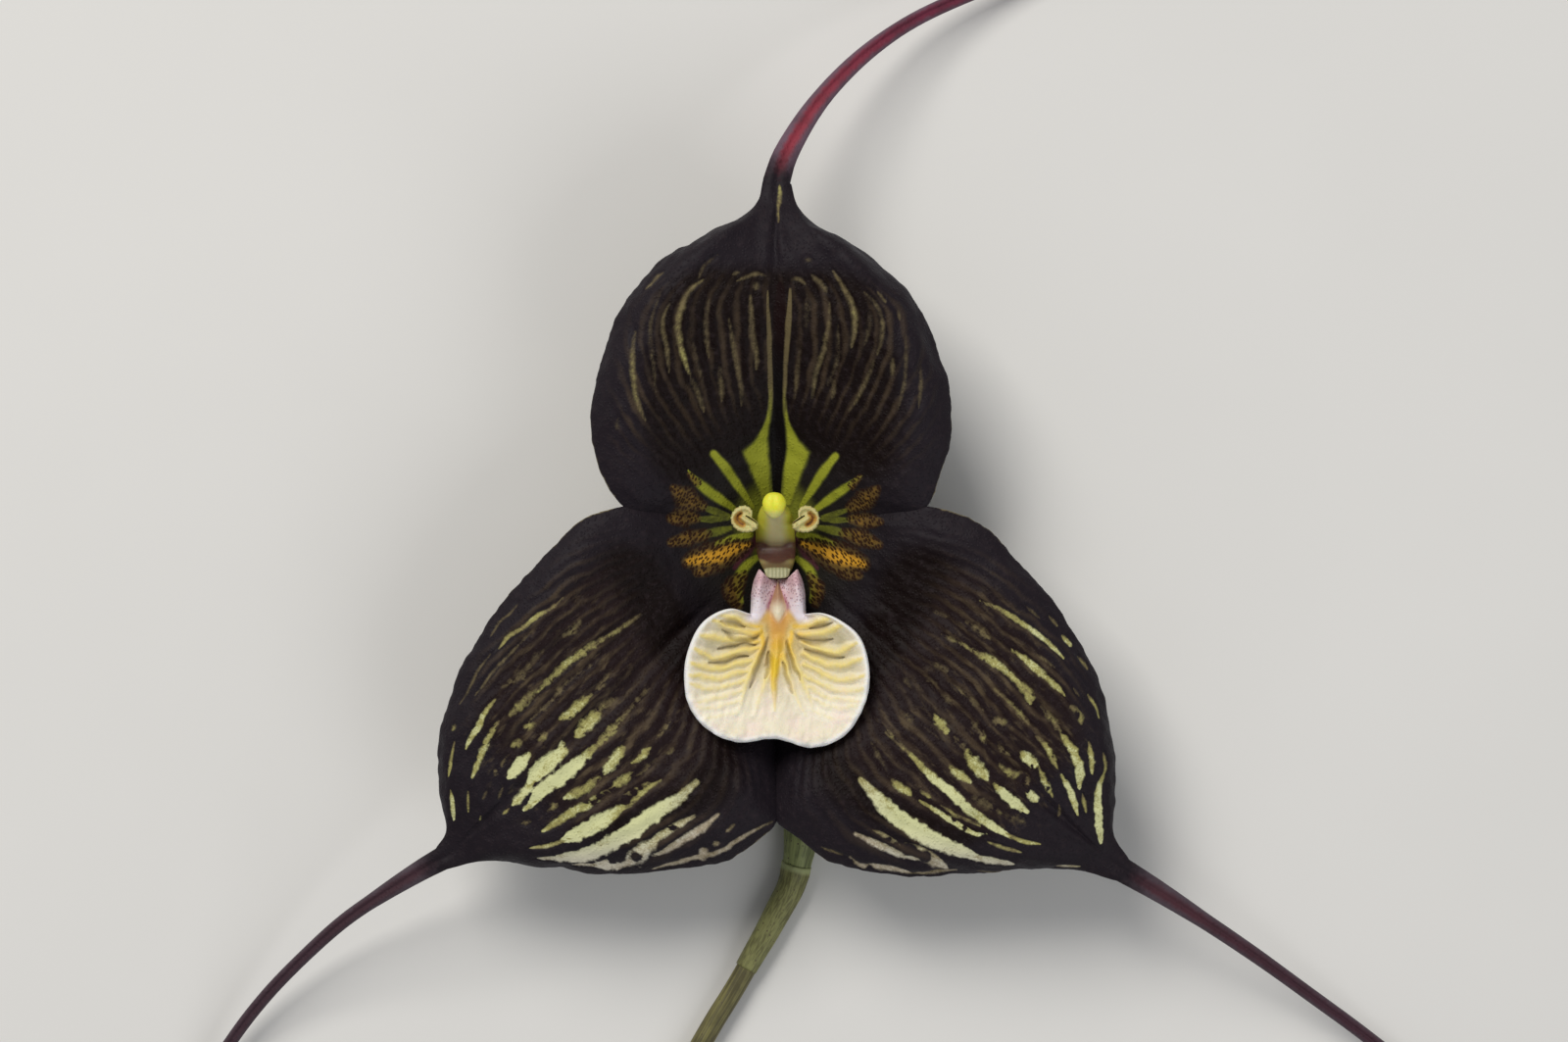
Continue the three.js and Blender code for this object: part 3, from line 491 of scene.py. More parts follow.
STROKES["left_lateral_sepal"] = [
    (1.65, 1, -7.3, -22.5, -8.9, -24, -11.4, -25.6, -14, -27.5, -17.5, -29.3, -20.3, -29.7),
    (0.3, 0.9, -19, -29.5, -20.6, -29.7, -22.1, -29.7),
    (1.6, 1, -14.2, -24.8, -16.2, -26.2, -17.8, -27.1, -19.6, -27.9),
    (0.45, 0.75, -18.7, -27.6, -21.1, -28.5, -22.8, -28.7),
    (0.6, 0.75, -10.5, -22.3, -11.4, -22.8, -12.4, -23.5, -13.5, -24.6, -14.4, -25.2),
    (0.4, 0.65, -11.9, -22.5, -13.5, -23.5, -14.4, -24.1),
    (0.8, 0.85, -7.4, -25.7, -9.1, -26.6, -10.6, -27.5, -12, -28.5),
    (1.6, 0.9, -11.2, -28.1, -12.2, -28.9, -13.6, -30.1),
    (0.9, 0.95, -13.4, -30.2, -14.8, -30.3, -16.6, -30.3),
    (0.3, 0.8, -16.6, -30.3, -17.6, -30.3, -18.7, -30.3),
    (0.8, 0.8, -5.2, -25.5, -6.5, -26.6, -8.5, -27.9, -9.8, -28.7, -11.1, -29.3),
    (0.5, 0.75, -0.2, -26.2, -2.9, -27.6, -4.9, -28.8, -6.7, -29.4, -9.5, -30.2, -11.4, -30.6),
    (0.9, 0.8, -6.6, -28.7, -6.7, -29.6),
    (0.4, 0.6, -3.7, -26.4, -4.6, -27.2),
    (0.5, 0.7, -5.3, -28.1, -5.7, -28.2),
    (0.9, 0.75, -13.3, -21.7, -14, -22.3, -14.8, -22.8),
    (0.85, 0.8, -14.9, -23, -16.3, -23.9, -17.4, -24.6, -19, -25.4, -20.3, -26.3, -21.6, -27.1),
    (1.15, 0.82, -14, -19.3, -15, -20.5, -15.8, -21.7),
    (1, 0.78, -16.3, -22.1, -17.9, -23.3, -19.5, -24),
    (0.6, 0.55, -20.2, -24.5, -21.1, -25.2),
    (0.7, 0.5, -14.6, -14.7, -15.8, -15.4, -16.7, -16.3),
    (1.1, 0.78, -16.1, -15.7, -17.4, -17.1, -18.5, -18.3),
    (1.6, 1, -19.7, -18.9, -19.8, -19.7, -20.6, -20.4, -22, -21.6, -22.8, -22.6),
    (1, 0.9, -22.4, -22.4, -23.6, -23.8, -24.4, -24.6),
    (0.5, 0.42, -11.3, -13.3, -12.9, -15.1, -14.2, -16.6),
    (0.8, 0.7, -14, -16.4, -15.6, -18.2, -16.7, -19.3),
    (1.5, 1, -16.7, -19.3, -18.3, -20.7, -19.8, -22, -21.5, -23.2, -22.8, -24.7),
    (0.5, 0.8, -22.1, -24.1, -23.4, -25.2),
    (1, 0.8, -17, -14.4, -18.3, -15.5, -19.3, -16.3, -20, -16.7),
    (1.2, 1, -22.8, -19.9, -23.6, -20.8, -24.7, -22.1),
    (0.9, 0.7, -22.4, -17.1, -23.2, -17.5),
    (0.65, 0.6, -21.1, -17.9, -22, -18.7),
    (0.75, 0.62, -23.5, -18.8, -24.5, -19.2),
    (0.4, 0.5, -25, -20.2, -25.4, -21.1),
    (0.5, 0.7, -24.8, -25, -25.3, -25.5),
    (0.5, 0.55, -12.3, -6.9, -13.9, -8, -15.4, -9.1),
    (0.75, 0.72, -14.9, -8.6, -17.5, -10.2, -20, -12.2, -22, -14.1),
    (0.9, 0.6, -22, -13.9, -23.5, -15.3, -24.6, -16.3),
    (0.65, 0.78, -25.6, -16.8, -26.5, -18.3, -27.3, -20.1, -28.1, -22.1),
    (0.8, 0.48, -18.1, -7.5, -18.6, -8.4, -19.6, -9),
    (0.8, 0.4, -21.4, -10.3, -22.4, -11.2, -23.5, -12.7, -25.3, -13.7),
    (0.5, 0.7, -19.6, -5.4, -20.6, -6.3, -22.3, -7.3, -23.5, -8.3, -24.6, -8.8, -25.7, -10.1),
    (0.35, 0.42, -26.4, -10.6, -27.5, -12, -28.4, -13.8, -29.3, -15.3),
    (0.4, 0.42, -22.5, -8.5, -23.8, -9.8, -24.9, -10.9, -26.1, -12.1, -27.1, -13.5, -27.9, -14.5),
    (0.6, 0.82, -25.9, -14.8, -26.8, -15.9, -27.6, -17.5, -28.5, -18.9, -28.7, -19.5),
    (0.3, 0.42, -23.7, -5.7, -24.7, -6.9, -25.7, -7.7, -26.5, -9.1),
    (0.35, 0.7, -29.8, -18.7, -30.1, -20.2, -30.4, -22.1),
    (0.4, 0.6, -29.7, -17.2, -30, -17.8),
    (0.42, 0.85, -30.2, -23.3, -30, -24.4, -29.8, -26.2),
    (0.28, 0.7, -28.5, -23.3, -28.5, -25.5),
    (0.28, 0.65, -27.4, -25.7, -27.3, -26.3),
    (0.45, 0.5, -9.7, -16.9, -10.5, -17.9, -11, -18.6),
    (0.7, 0.75, -11.6, -19.3, -12.3, -20.1, -13.3, -20.8),
    (0.5, 0.55, -9.3, -19.3, -10.1, -20),
    (0.45, 0.38, -10.9, -20.3, -11.8, -21.1, -12.9, -22.1),
    (0.6, 0.42, -15.3, -12.2, -15.9, -13.3, -16.7, -14.1),
    (0.6, 0.38, -17, -11.7, -18.4, -12.7, -19.4, -13.4, -20.3, -14.5, -21.1, -15.1),
    (0.5, 0.42, -19.9, -14.3, -21.5, -15.7, -22.6, -16.7),
    (0.4, 0.4, -26.7, -23.3, -27.1, -24.1),
    (0.4, 0.5, -25.3, -22.9, -25.7, -24.3),
    (0.45, 0.5, -26, -21.3, -25.9, -21.9),
    (0.5, 0.45, -22.6, -26.2, -23.5, -26.4),
    (0.5, 0.55, -20.3, -24.6, -20.7, -25.1),
]
STROKES["right_lateral_sepal"] = [
    (1.7, 1, 7.9, -22.3, 9.1, -23.6, 10.7, -25.3, 12.4, -26.5, 14.5, -27.8, 16.7, -28.8, 18.7, -29.6),
    (0.6, 0.9, 17.8, -29.4, 20.3, -29.9, 22.2, -30.3),
    (0.5, 0.55, 9.9, -17.3, 11.1, -18.6, 12.8, -20.2),
    (1, 0.92, 12.4, -19.8, 14.5, -22, 16.2, -23.4, 17.8, -24.9, 19.7, -26.3, 21.8, -27.6),
    (0.45, 0.75, 21.4, -27.3, 22.9, -28, 24.6, -28.3),
    (0.8, 0.75, 10.8, -22.3, 11.6, -23, 12.6, -23.7),
    (0.45, 0.7, 13.3, -23.2, 14.5, -24),
    (0.55, 0.88, 13.3, -24.2, 14.5, -24.9, 15.7, -25.7, 17.2, -26.6, 18.7, -27.4, 19.7, -27.4),
    (0.4, 0.65, 15.2, -24.5, 16.6, -25.5, 17.9, -26.1, 19, -26.6),
    (0.45, 0.7, 19.7, -28.1, 21.4, -28.7, 22.9, -29.1),
    (0.8, 0.85, 7.3, -27.3, 8.7, -28, 10.3, -28.8, 11.8, -29.4, 13.3, -29.8),
    (1, 0.9, 13.7, -29.8, 15, -30.1, 15.9, -30.7),
    (0.45, 0.7, 9, -26.9, 10.3, -27.6, 11.6, -28.5),
    (0.45, 0.75, 11.9, -28.2, 13.3, -28.7, 14.5, -29.3, 15.5, -30),
    (0.5, 0.8, 6.8, -29.4, 7.8, -30.3, 9.3, -30.4, 10.8, -30.6, 12.5, -30.9),
    (0.3, 0.65, 12.4, -31, 14.6, -31, 17, -30.9),
    (0.3, 0.55, 4.1, -28.5, 5.4, -29, 6.5, -29.4),
    (0.25, 0.75, 26, -30.4, 28.5, -30.3),
    (0.25, 0.5, 18.7, -30.8, 20.7, -31, 22.8, -30.8),
    (1.25, 0.9, 17.7, -19.7, 18.4, -20.7, 19.6, -22.2),
    (0.85, 0.8, 16.1, -21, 17, -21.8, 18.1, -22.5),
    (1, 0.95, 20.3, -22.7, 21.4, -23.8, 22.5, -24.7, 23.4, -25.3),
    (0.85, 0.9, 23.3, -23.4, 23.9, -23.8, 24.3, -24.3),
    (1, 0.88, 22.8, -19.8, 23.5, -20.4, 24.3, -21),
    (0.7, 0.75, 24.5, -21.3, 25.1, -22.6, 25.7, -23.9),
    (0.8, 0.65, 20.9, -20.9, 21.8, -21.7, 22.8, -22.1),
    (0.5, 0.55, 20.6, -19.1, 21.8, -20.1),
    (0.6, 0.6, 19.2, -18, 19.4, -19),
    (0.9, 0.6, 20.3, -16.7, 21.2, -17.1),
    (0.95, 0.78, 14.8, -16.3, 15.4, -17.1, 15.9, -17.9),
    (0.45, 0.55, 15.3, -8.8, 16.6, -9.4, 17.8, -9.9),
    (0.75, 0.76, 17.6, -9.9, 19.7, -11.1, 21.4, -12.3, 22.9, -13.6),
    (0.95, 0.78, 22.4, -13.3, 23.5, -14.3, 23.7, -15.2),
    (0.6, 0.55, 20.2, -13.8, 21.4, -14.9, 22.6, -16.1, 23.8, -17.5),
    (0.8, 0.5, 17.7, -7.7, 18.7, -8.2, 19.9, -9.3),
    (0.5, 0.35, 14.5, -6.7, 16.2, -7.3),
    (0.7, 0.82, 21.8, -10.2, 23.1, -11.1, 24.5, -12.3, 25.8, -13.4, 26.9, -14.5),
    (0.6, 0.8, 18.9, -5.7, 20.8, -6.5, 22.4, -7.5, 24.1, -8.6, 25.6, -9.8, 26.8, -11.1),
    (0.6, 0.85, 26.7, -8.9, 27.5, -9.9),
    (0.35, 0.5, 25.4, -7.1, 26.3, -8.1),
    (0.35, 0.4, 23.1, -6.1, 24.7, -7.4),
    (0.35, 0.6, 28, -10.8, 29, -12.2),
    (0.35, 0.75, 29, -14.3, 29.8, -15.5, 30.1, -16.7),
    (0.4, 0.45, 27.7, -13.8, 28.4, -14.7),
    (0.75, 0.65, 27.4, -15.5, 28.1, -16.1, 28.4, -17.1),
    (0.6, 0.55, 24.6, -15.5, 25.8, -16.9, 26.8, -18.4),
    (0.95, 0.88, 26.5, -18, 27.6, -19.6, 28.2, -21.3, 28.2, -23.1),
    (0.6, 0.68, 24.1, -18.2, 25, -19, 25.6, -20.1, 26.2, -21.3),
    (0.65, 0.88, 26.5, -21.8, 27.3, -23.2, 28.1, -25.6),
    (0.6, 0.8, 29.1, -18.8, 29.3, -20.2, 29.4, -21.8),
    (0.35, 0.7, 30.4, -19.7, 30.7, -21.1, 30.5, -22.2),
    (0.8, 0.95, 30.6, -21.7, 30, -23.4, 30, -25.1, 30.1, -26.8, 30.3, -28.3),
    (0.4, 0.65, 28.5, -23.7, 28.9, -25.5),
    (0.3, 0.5, 26.3, -24.6, 26.4, -25.8),
    (0.9, 0.42, 18.2, -23.8, 19.5, -24.6, 20.8, -25.3),
    (0.6, 0.6, 20.4, -25, 21, -25.5),
    (0.8, 0.45, 21.4, -25.6, 23.2, -26.3),
    (0.6, 0.35, 11.9, -13, 12.5, -13.4),
    (0.7, 0.36, 14.1, -13.1, 14.9, -13.5),
    (0.7, 0.42, 15.5, -14.4, 16.1, -15),
    (0.7, 0.4, 14.7, -11.5, 16, -12.3),
    (0.7, 0.35, 12, -16.2, 12.6, -16.8),
    (0.5, 0.3, 8.9, -18.8, 9.5, -20, 10.4, -21.5),
    (0.35, 0.45, 24, -10.5, 25.4, -11.5, 26.3, -12.3),
    (0.6, 0.42, 18.1, -16.9, 19.3, -18.2),
    (0.6, 0.5, 22.8, -21.6, 23.6, -22.8),
    (0.5, 0.4, 16.2, -13.4, 17.9, -14.6, 19.3, -15.9),
    (0.5, 0.4, 16.6, -18.3, 17.7, -19.5),
]
DOTS["left_lateral_sepal"] = [  # x, y and radius
    (-12.9, -29.5, 0.42), (-14.5, -29.7, 0.45), (-15.1, -30, 0.28), (-13.9, -24.2, 0.36),
    (-13.1, -23.5, 0.26), (-12.5, -23.1, 0.2), (-15, -23.3, 0.22), (-15.6, -23.6, 0.22),
    (-16.2, -23.9, 0.25), (-16.8, -24.4, 0.22), (-17.5, -24.3, 0.2), (-9.5, -26.8, 0.25),
]
DOTS["right_lateral_sepal"] = [  # x, y and radius
    (12.4, -28.8, 0.5), (13.9, -29.6, 0.45), (19.4, -27.7, 0.3), (8, -28.4, 0.2), (11.2, -28.4, 0.25),
    (10.5, -27.9, 0.2), (28, -16.3, 0.2), (22.9, -22.2, 0.28), (23.4, -23.2, 0.22), (23.8, -21, 0.15),
    (25.3, -23.1, 0.15), (17.6, -26.8, 0.2), (16.6, -26, 0.2), (6.8, -30, 0.3), (8.8, -30.6, 0.25),
]
print(sum(len(strokes) for strokes in STROKES.values()), "strokes")


# %% Fields from strokes


def stroke(places, path, half_widths, steps=14):
    """1 on the middle of a stroke and 0 at its edge: 1 - distance / half width, for the best of
    its short straight pieces, and how far along that is. half_widths are evenly spaced."""
    line = curve(path)(np.linspace(0, 1, steps + 1))
    half = np.interp(np.linspace(0, 1, steps + 1), np.linspace(0, 1, len(half_widths)), half_widths)
    best, along = np.full(places.shape[:-1], -9.0), np.zeros(places.shape[:-1])
    for k in range(steps):
        way = line[k + 1] - line[k]
        share = np.clip(((places - line[k]) @ way) / max(way @ way, 1e-9), 0, 1)
        apart = np.linalg.norm(places - line[k] - share[..., None] * way, axis=-1)
        field = 1 - apart / (half[k] + (half[k + 1] - half[k]) * share)
        along = np.where(field > best, (k + share) / steps, along)
        best = np.maximum(best, field)
    return best, along


TAPER = np.array([0.45, 0.85, 1, 1, 0.9, 0.4])  # of a stroke's width, from end to end


def stripe_fields(face, strokes, dots, softness):
    """The nearest stroke's field and brightness, in plan. A stroke spreads beyond its width by
    softness (1 - brightness). Round dots of the dark ground are punched in."""
    plan = face[..., :2]
    field, bright = np.full(plan.shape[:-1], -1.0), np.zeros(plan.shape[:-1])
    for width, brightness, *path in strokes:
        halves = TAPER * width / 2 * (1.05 + softness * (1 - brightness))
        found, along = stroke(plan, np.reshape(path, (-1, 2)), halves)
        nearer = found > field
        light = brightness * (0.8 + 0.2 * smooth(along, 0.0, 0.4))
        field[nearer], bright[nearer] = found[nearer], light[nearer]
    for x, y, radius in dots:
        apart = np.hypot(plan[..., 0] - x, plan[..., 1] - y)
        field = np.minimum(field, np.maximum(apart / radius - 1, -1))
    return field, bright


# %% [markdown]
# ## The star round the column
# Yellow-green rays spread from the column over all three sepals, and end in orange patches full
# of brown dots. They cross the seams, so they are drawn once, in plan, in millimetres from the
# axis. Each ray is a list of (x, y) points and a list of half widths, evenly spaced along it.

# %% Rays, patches and dark bands
WEDGES = [  # corners of the two broad rays beside the midline
    [(-0.3, 3.0), (-0.62, 9.8), (-1.05, 9.85), (-3.05, 8.15), (-1.05, 3.0)],
    [(0.5, 3.0), (1.45, 3.0), (3.2, 8.0), (1.5, 9.75), (1.0, 9.8)],
]
RAYS = [
    (
        [(-1.2, 9.2), (-0.66, 10.6), (-0.46, 12.5), (-0.5, 16.5), (-0.6, 21.0), (-0.66, 23.0)],
        [0.5, 0.2, 0.2, 0.2, 0.08],
    ),
    (
        [(1.6, 9.1), (1.07, 10.6), (0.92, 12.5), (0.96, 16.5), (1.3, 21.0), (1.4, 23.2)],
        [0.5, 0.2, 0.24, 0.3, 0.12],
    ),
    ([(-2.1, 3.0), (-3.2, 4.6), (-4.6, 6.6), (-5.7, 7.9)], [0.25, 0.42, 0.5, 0.38]),
    ([(2.35, 3.0), (3.4, 4.6), (4.6, 6.4), (5.6, 7.7)], [0.25, 0.4, 0.5, 0.38]),
    ([(-3.8, 2.8), (-5.7, 4.1), (-7.1, 5.2), (-8.0, 6.3)], [0.3, 0.5, 0.5, 0.1]),
    ([(3.7, 2.7), (5.6, 4.1), (7.0, 5.1), (8.0, 5.9)], [0.3, 0.48, 0.42, 0.1]),
    ([(-2.3, 0.4), (-3.8, 0.1), (-5.4, -0.5)], [0.3, 0.4, 0.3]),
    ([(2.2, 0.4), (3.8, 0.1), (5.4, -0.5)], [0.3, 0.4, 0.3]),
    ([(-1.7, -1.7), (-2.5, -2.3), (-3.2, -3.2), (-3.5, -4.5), (-3.1, -6.0)], [0.3, 0.48, 0.5, 0.4, 0.2]),
    ([(2.0, -1.8), (2.8, -2.4), (3.4, -3.2), (3.6, -4.5), (3.3, -5.8)], [0.3, 0.45, 0.45, 0.35, 0.2]),
]
FAINT_RAYS = [  # the short ones straight to the sides
    ([(-4.1, 2.1), (-5.6, 2.6), (-7.0, 3.1)], [0.14, 0.34, 0.2]),
    ([(4.2, 2.0), (5.8, 2.4), (7.1, 2.8)], [0.14, 0.28, 0.15]),
    ([(-4.1, 1.9), (-5.8, 1.85), (-7.7, 1.9)], [0.14, 0.34, 0.16]),
    ([(4.2, 1.8), (5.8, 1.75), (7.3, 1.8)], [0.14, 0.3, 0.14]),
    ([(-4.0, 1.05), (-5.4, 0.7), (-7.0, 0.35)], [0.2, 0.42, 0.26]),
    ([(3.85, 1.1), (5.4, 0.8), (7.0, 0.45)], [0.2, 0.4, 0.26]),
]
PATCHES = [
    ([(-2.5, -0.5), (-4.2, -1.1), (-5.7, -1.65), (-8.0, -2.1)], [0.35, 0.95, 1.15, 0.5]),
    ([(2.5, -0.4), (4.2, -1.0), (5.7, -1.6), (8.2, -2.3)], [0.35, 0.95, 1.15, 0.55]),
]
SPECKS = [  # dim brown patches, as crowded with dots
    ([(-6.8, 3.1), (-8.2, 3.7), (-9.4, 4.7)], [0.4, 0.85, 0.3]),
    ([(-7.3, 1.95), (-8.6, 2.1), (-9.6, 1.9)], [0.35, 0.75, 0.4]),
    ([(-6.4, 0.45), (-7.8, 0.1), (-9.6, -0.3)], [0.4, 0.6, 0.35]),
    ([(7.0, 2.9), (8.4, 3.7), (9.5, 4.7)], [0.4, 0.8, 0.3]),
    ([(7.1, 1.85), (8.4, 1.7), (9.8, 1.6)], [0.35, 0.6, 0.3]),
    ([(6.5, 0.55), (8.0, 0.1), (9.6, -0.5)], [0.4, 0.65, 0.35]),
    ([(-5.6, -1.9), (-6.4, -2.7), (-7.2, -3.2)], [0.8, 0.6, 0.3]),
    ([(5.6, -2.0), (6.8, -3.0), (7.8, -3.4)], [0.8, 0.7, 0.3]),
    ([(-7.2, 5.2), (-7.9, 6.0)], [0.3, 0.2]),
    ([(7.2, 5.0), (7.9, 5.8)], [0.3, 0.2]),
    ([(-2.9, -3.3), (-3.9, -4.6), (-3.5, -6.2)], [0.3, 0.8, 0.4]),
    ([(3.2, -3.3), (3.9, -4.6), (3.7, -6.0)], [0.25, 0.6, 0.35]),
]
WINE_BANDS = [
    ([(1.6, 0.3), (2.4, -0.7), (3.2, -1.8), (3.9, -2.7)], [0.6, 0.55, 0.45, 0.2]),
    ([(-1.5, 0.3), (-2.3, -0.7), (-3.1, -1.8), (-3.8, -2.7)], [0.6, 0.55, 0.45, 0.2]),
]
MIDLINE_BAND = [(
    [
        (0.12, 3.0), (0.17, 5.6), (0.2, 8.1), (0.24, 11.1), (0.28, 13), (0.3, 16.5), (0.45, 21.2),
        (0.45, 23.5),
    ],
    [0.3, 0.5, 0.78, 0.7, 0.53, 0.52, 0.55, 0.55, 0.3],
)]
STROKE_ROOM = 2.5  # no ray or patch is wider
STAR_REACH = 25  # from the axis to beyond the star
FAINT, DIM = 0.08, 0.2  # the most that the faint rays and the specks come to


def drawn(plan, strokes):
    """The greatest field of several strokes, each worked out only in the box round it."""
    field = np.full(plan.shape[:-1], -1.0)
    for path, half_widths in strokes:
        low, high = np.min(path, 0) - STROKE_ROOM, np.max(path, 0) + STROKE_ROOM
        near = ((plan > low) & (plan < high)).all(-1)
        field[near] = np.maximum(field[near], stroke(plan[near], path, half_widths)[0])
    return field


def inside(plan, corners):
    """How deep a place lies in a convex outline in plan, over 0.7: its least distance from a side."""
    corners = np.array(corners)
    side = np.roll(corners, -1, 0) - corners
    inward = unit(stacked(-side[:, 1], side[:, 0]))
    inward *= np.sign(((corners.mean(0) - corners) * inward).sum(-1))[:, None]
    depth = ((plan[..., None, :] - corners) * inward).sum(-1).min(-1)
    return np.clip(depth / 0.7, -1, 1)


print(len(WEDGES + RAYS + FAINT_RAYS), "rays and", len(PATCHES + SPECKS), "patches")

# %% [markdown]
# ## The finish of a sepal
# Its face is blackish purple and slightly velvety, mottled, and covered with papillae too small
# to count, which give the skin its soft sheen. Its ground is painted darker in the middle of each
# blade, partly pigment and partly painted shade, and greyer towards the margins as a painted sheen.
# The stripes go from a dim olive to cream, and pinkish white near the cleft below the lip. The rear
# is greenish grey with dark veins, and a thin pale line runs along the free margins.

# %% Sepal material


def striped_face(f, ground, fine, grain, run, haze):
    """Pale stripes over the dark ground. Their edges follow soft noise, and dim stripes are also
    crossed by dark bars."""
    field, bright, pink = f.stored("stripe")
    haze = f.math("MAXIMUM", haze, 0.1)
    lobes = f.times(f.swing(f.noise(0.8, 2)), f.scaled(bright, 0.7, 0.1))
    bars = f.swing(f.noise(1.0, 2, f.stretched(run, 0.4, 1.5)))
    barred = f.times(f.times(bars, haze), f.scaled(bright, -2.8, 3.1))
    edge = f.sum(f.sum(field, lobes), f.sum(barred, f.swing(fine, 0.6)))
    grains = f.times(f.step(f.noise(0.32, 2, f.stretched(run, 1.0, 0.6)), 0.5, 0.75), haze)
    edge = f.sum(edge, f.times(grains, f.scaled(bright, 1.7, -1.7)))
    shown = f.step(edge, f.scaled(bright, -0.375, 0.325), f.scaled(bright, -1.85, 2.15))
    patchy = f.swing(f.noise(1.6, 3, f.stretched(run, 1.0, 0.5)), 0.6)
    speckle = f.scaled(f.sum(grain, fine), 0.4, -0.4)
    light = f.math("ADD", f.sum(bright, patchy), speckle, clamp=True)
    dim = f.mixed(f.step(light, 0.1, 0.55), (56, 46, 38), (118, 105, 72))
    full = f.mixed(f.scaled(pink, 0.75), (212, 213, 158), (216, 206, 196))
    mid = f.mixed(f.scaled(pink, 0.7), (162, 156, 92), (180, 164, 152))
    pale = f.mixed(f.step(light, 0.5, 0.8), dim, mid)
    pale = f.mixed(f.step(light, 0.75, 0.98), pale, full)
    return f.mixed(f.times(shown, f.step(light, -0.1, 0.3)), ground, pale)


def starry_face(f, face, fine, run, reach):
    """Yellow-green rays that fade at their edges, and amber patches crowded with dark dots that
    are drawn out away from the column."""
    green, orange, wine = f.stored("star")
    face = f.mixed(f.step(f.sum(wine, f.swing(fine, 0.9)), -0.5, 0.7), face, (74, 38, 44))
    soft = f.swing(f.noise(0.9, 3), 0.4)
    leafy = f.mixed(f.step(f.sum(green, soft), -0.1, 0.5), (90, 92, 34), (146, 149, 42))
    leafy = f.mixed(f.step(reach, 10.0 * MM, 15.0 * MM), leafy, (98, 86, 58))
    face = f.mixed(f.step(f.sum(green, soft), -0.35, 0.3), face, leafy)
    blurred = f.sum(orange, f.scaled(soft, 1.2))
    amber = f.mixed(f.step(blurred, 0.1, 0.85), (96, 74, 34), (208, 152, 44))
    face = f.mixed(f.step(blurred, -0.6, 0.5, 0, 0.95), face, amber)
    cells = f.cells(0.31, place=f.stretched(run, 1.0, 0.85), dimensions="2D")
    crowd = f.step(f.sum(orange, soft), 1.1, -0.2, 0.31, 0.43)
    spotted = f.step(f.sum(orange, f.scaled(soft, 0.5)), -0.7, -0.2)
    dots = f.times(f.step(f.math("SUBTRACT", cells, crowd), 0.08, -0.08), spotted)
    return f.mixed(f.scaled(dots, 0.9), face, (38, 17, 9))


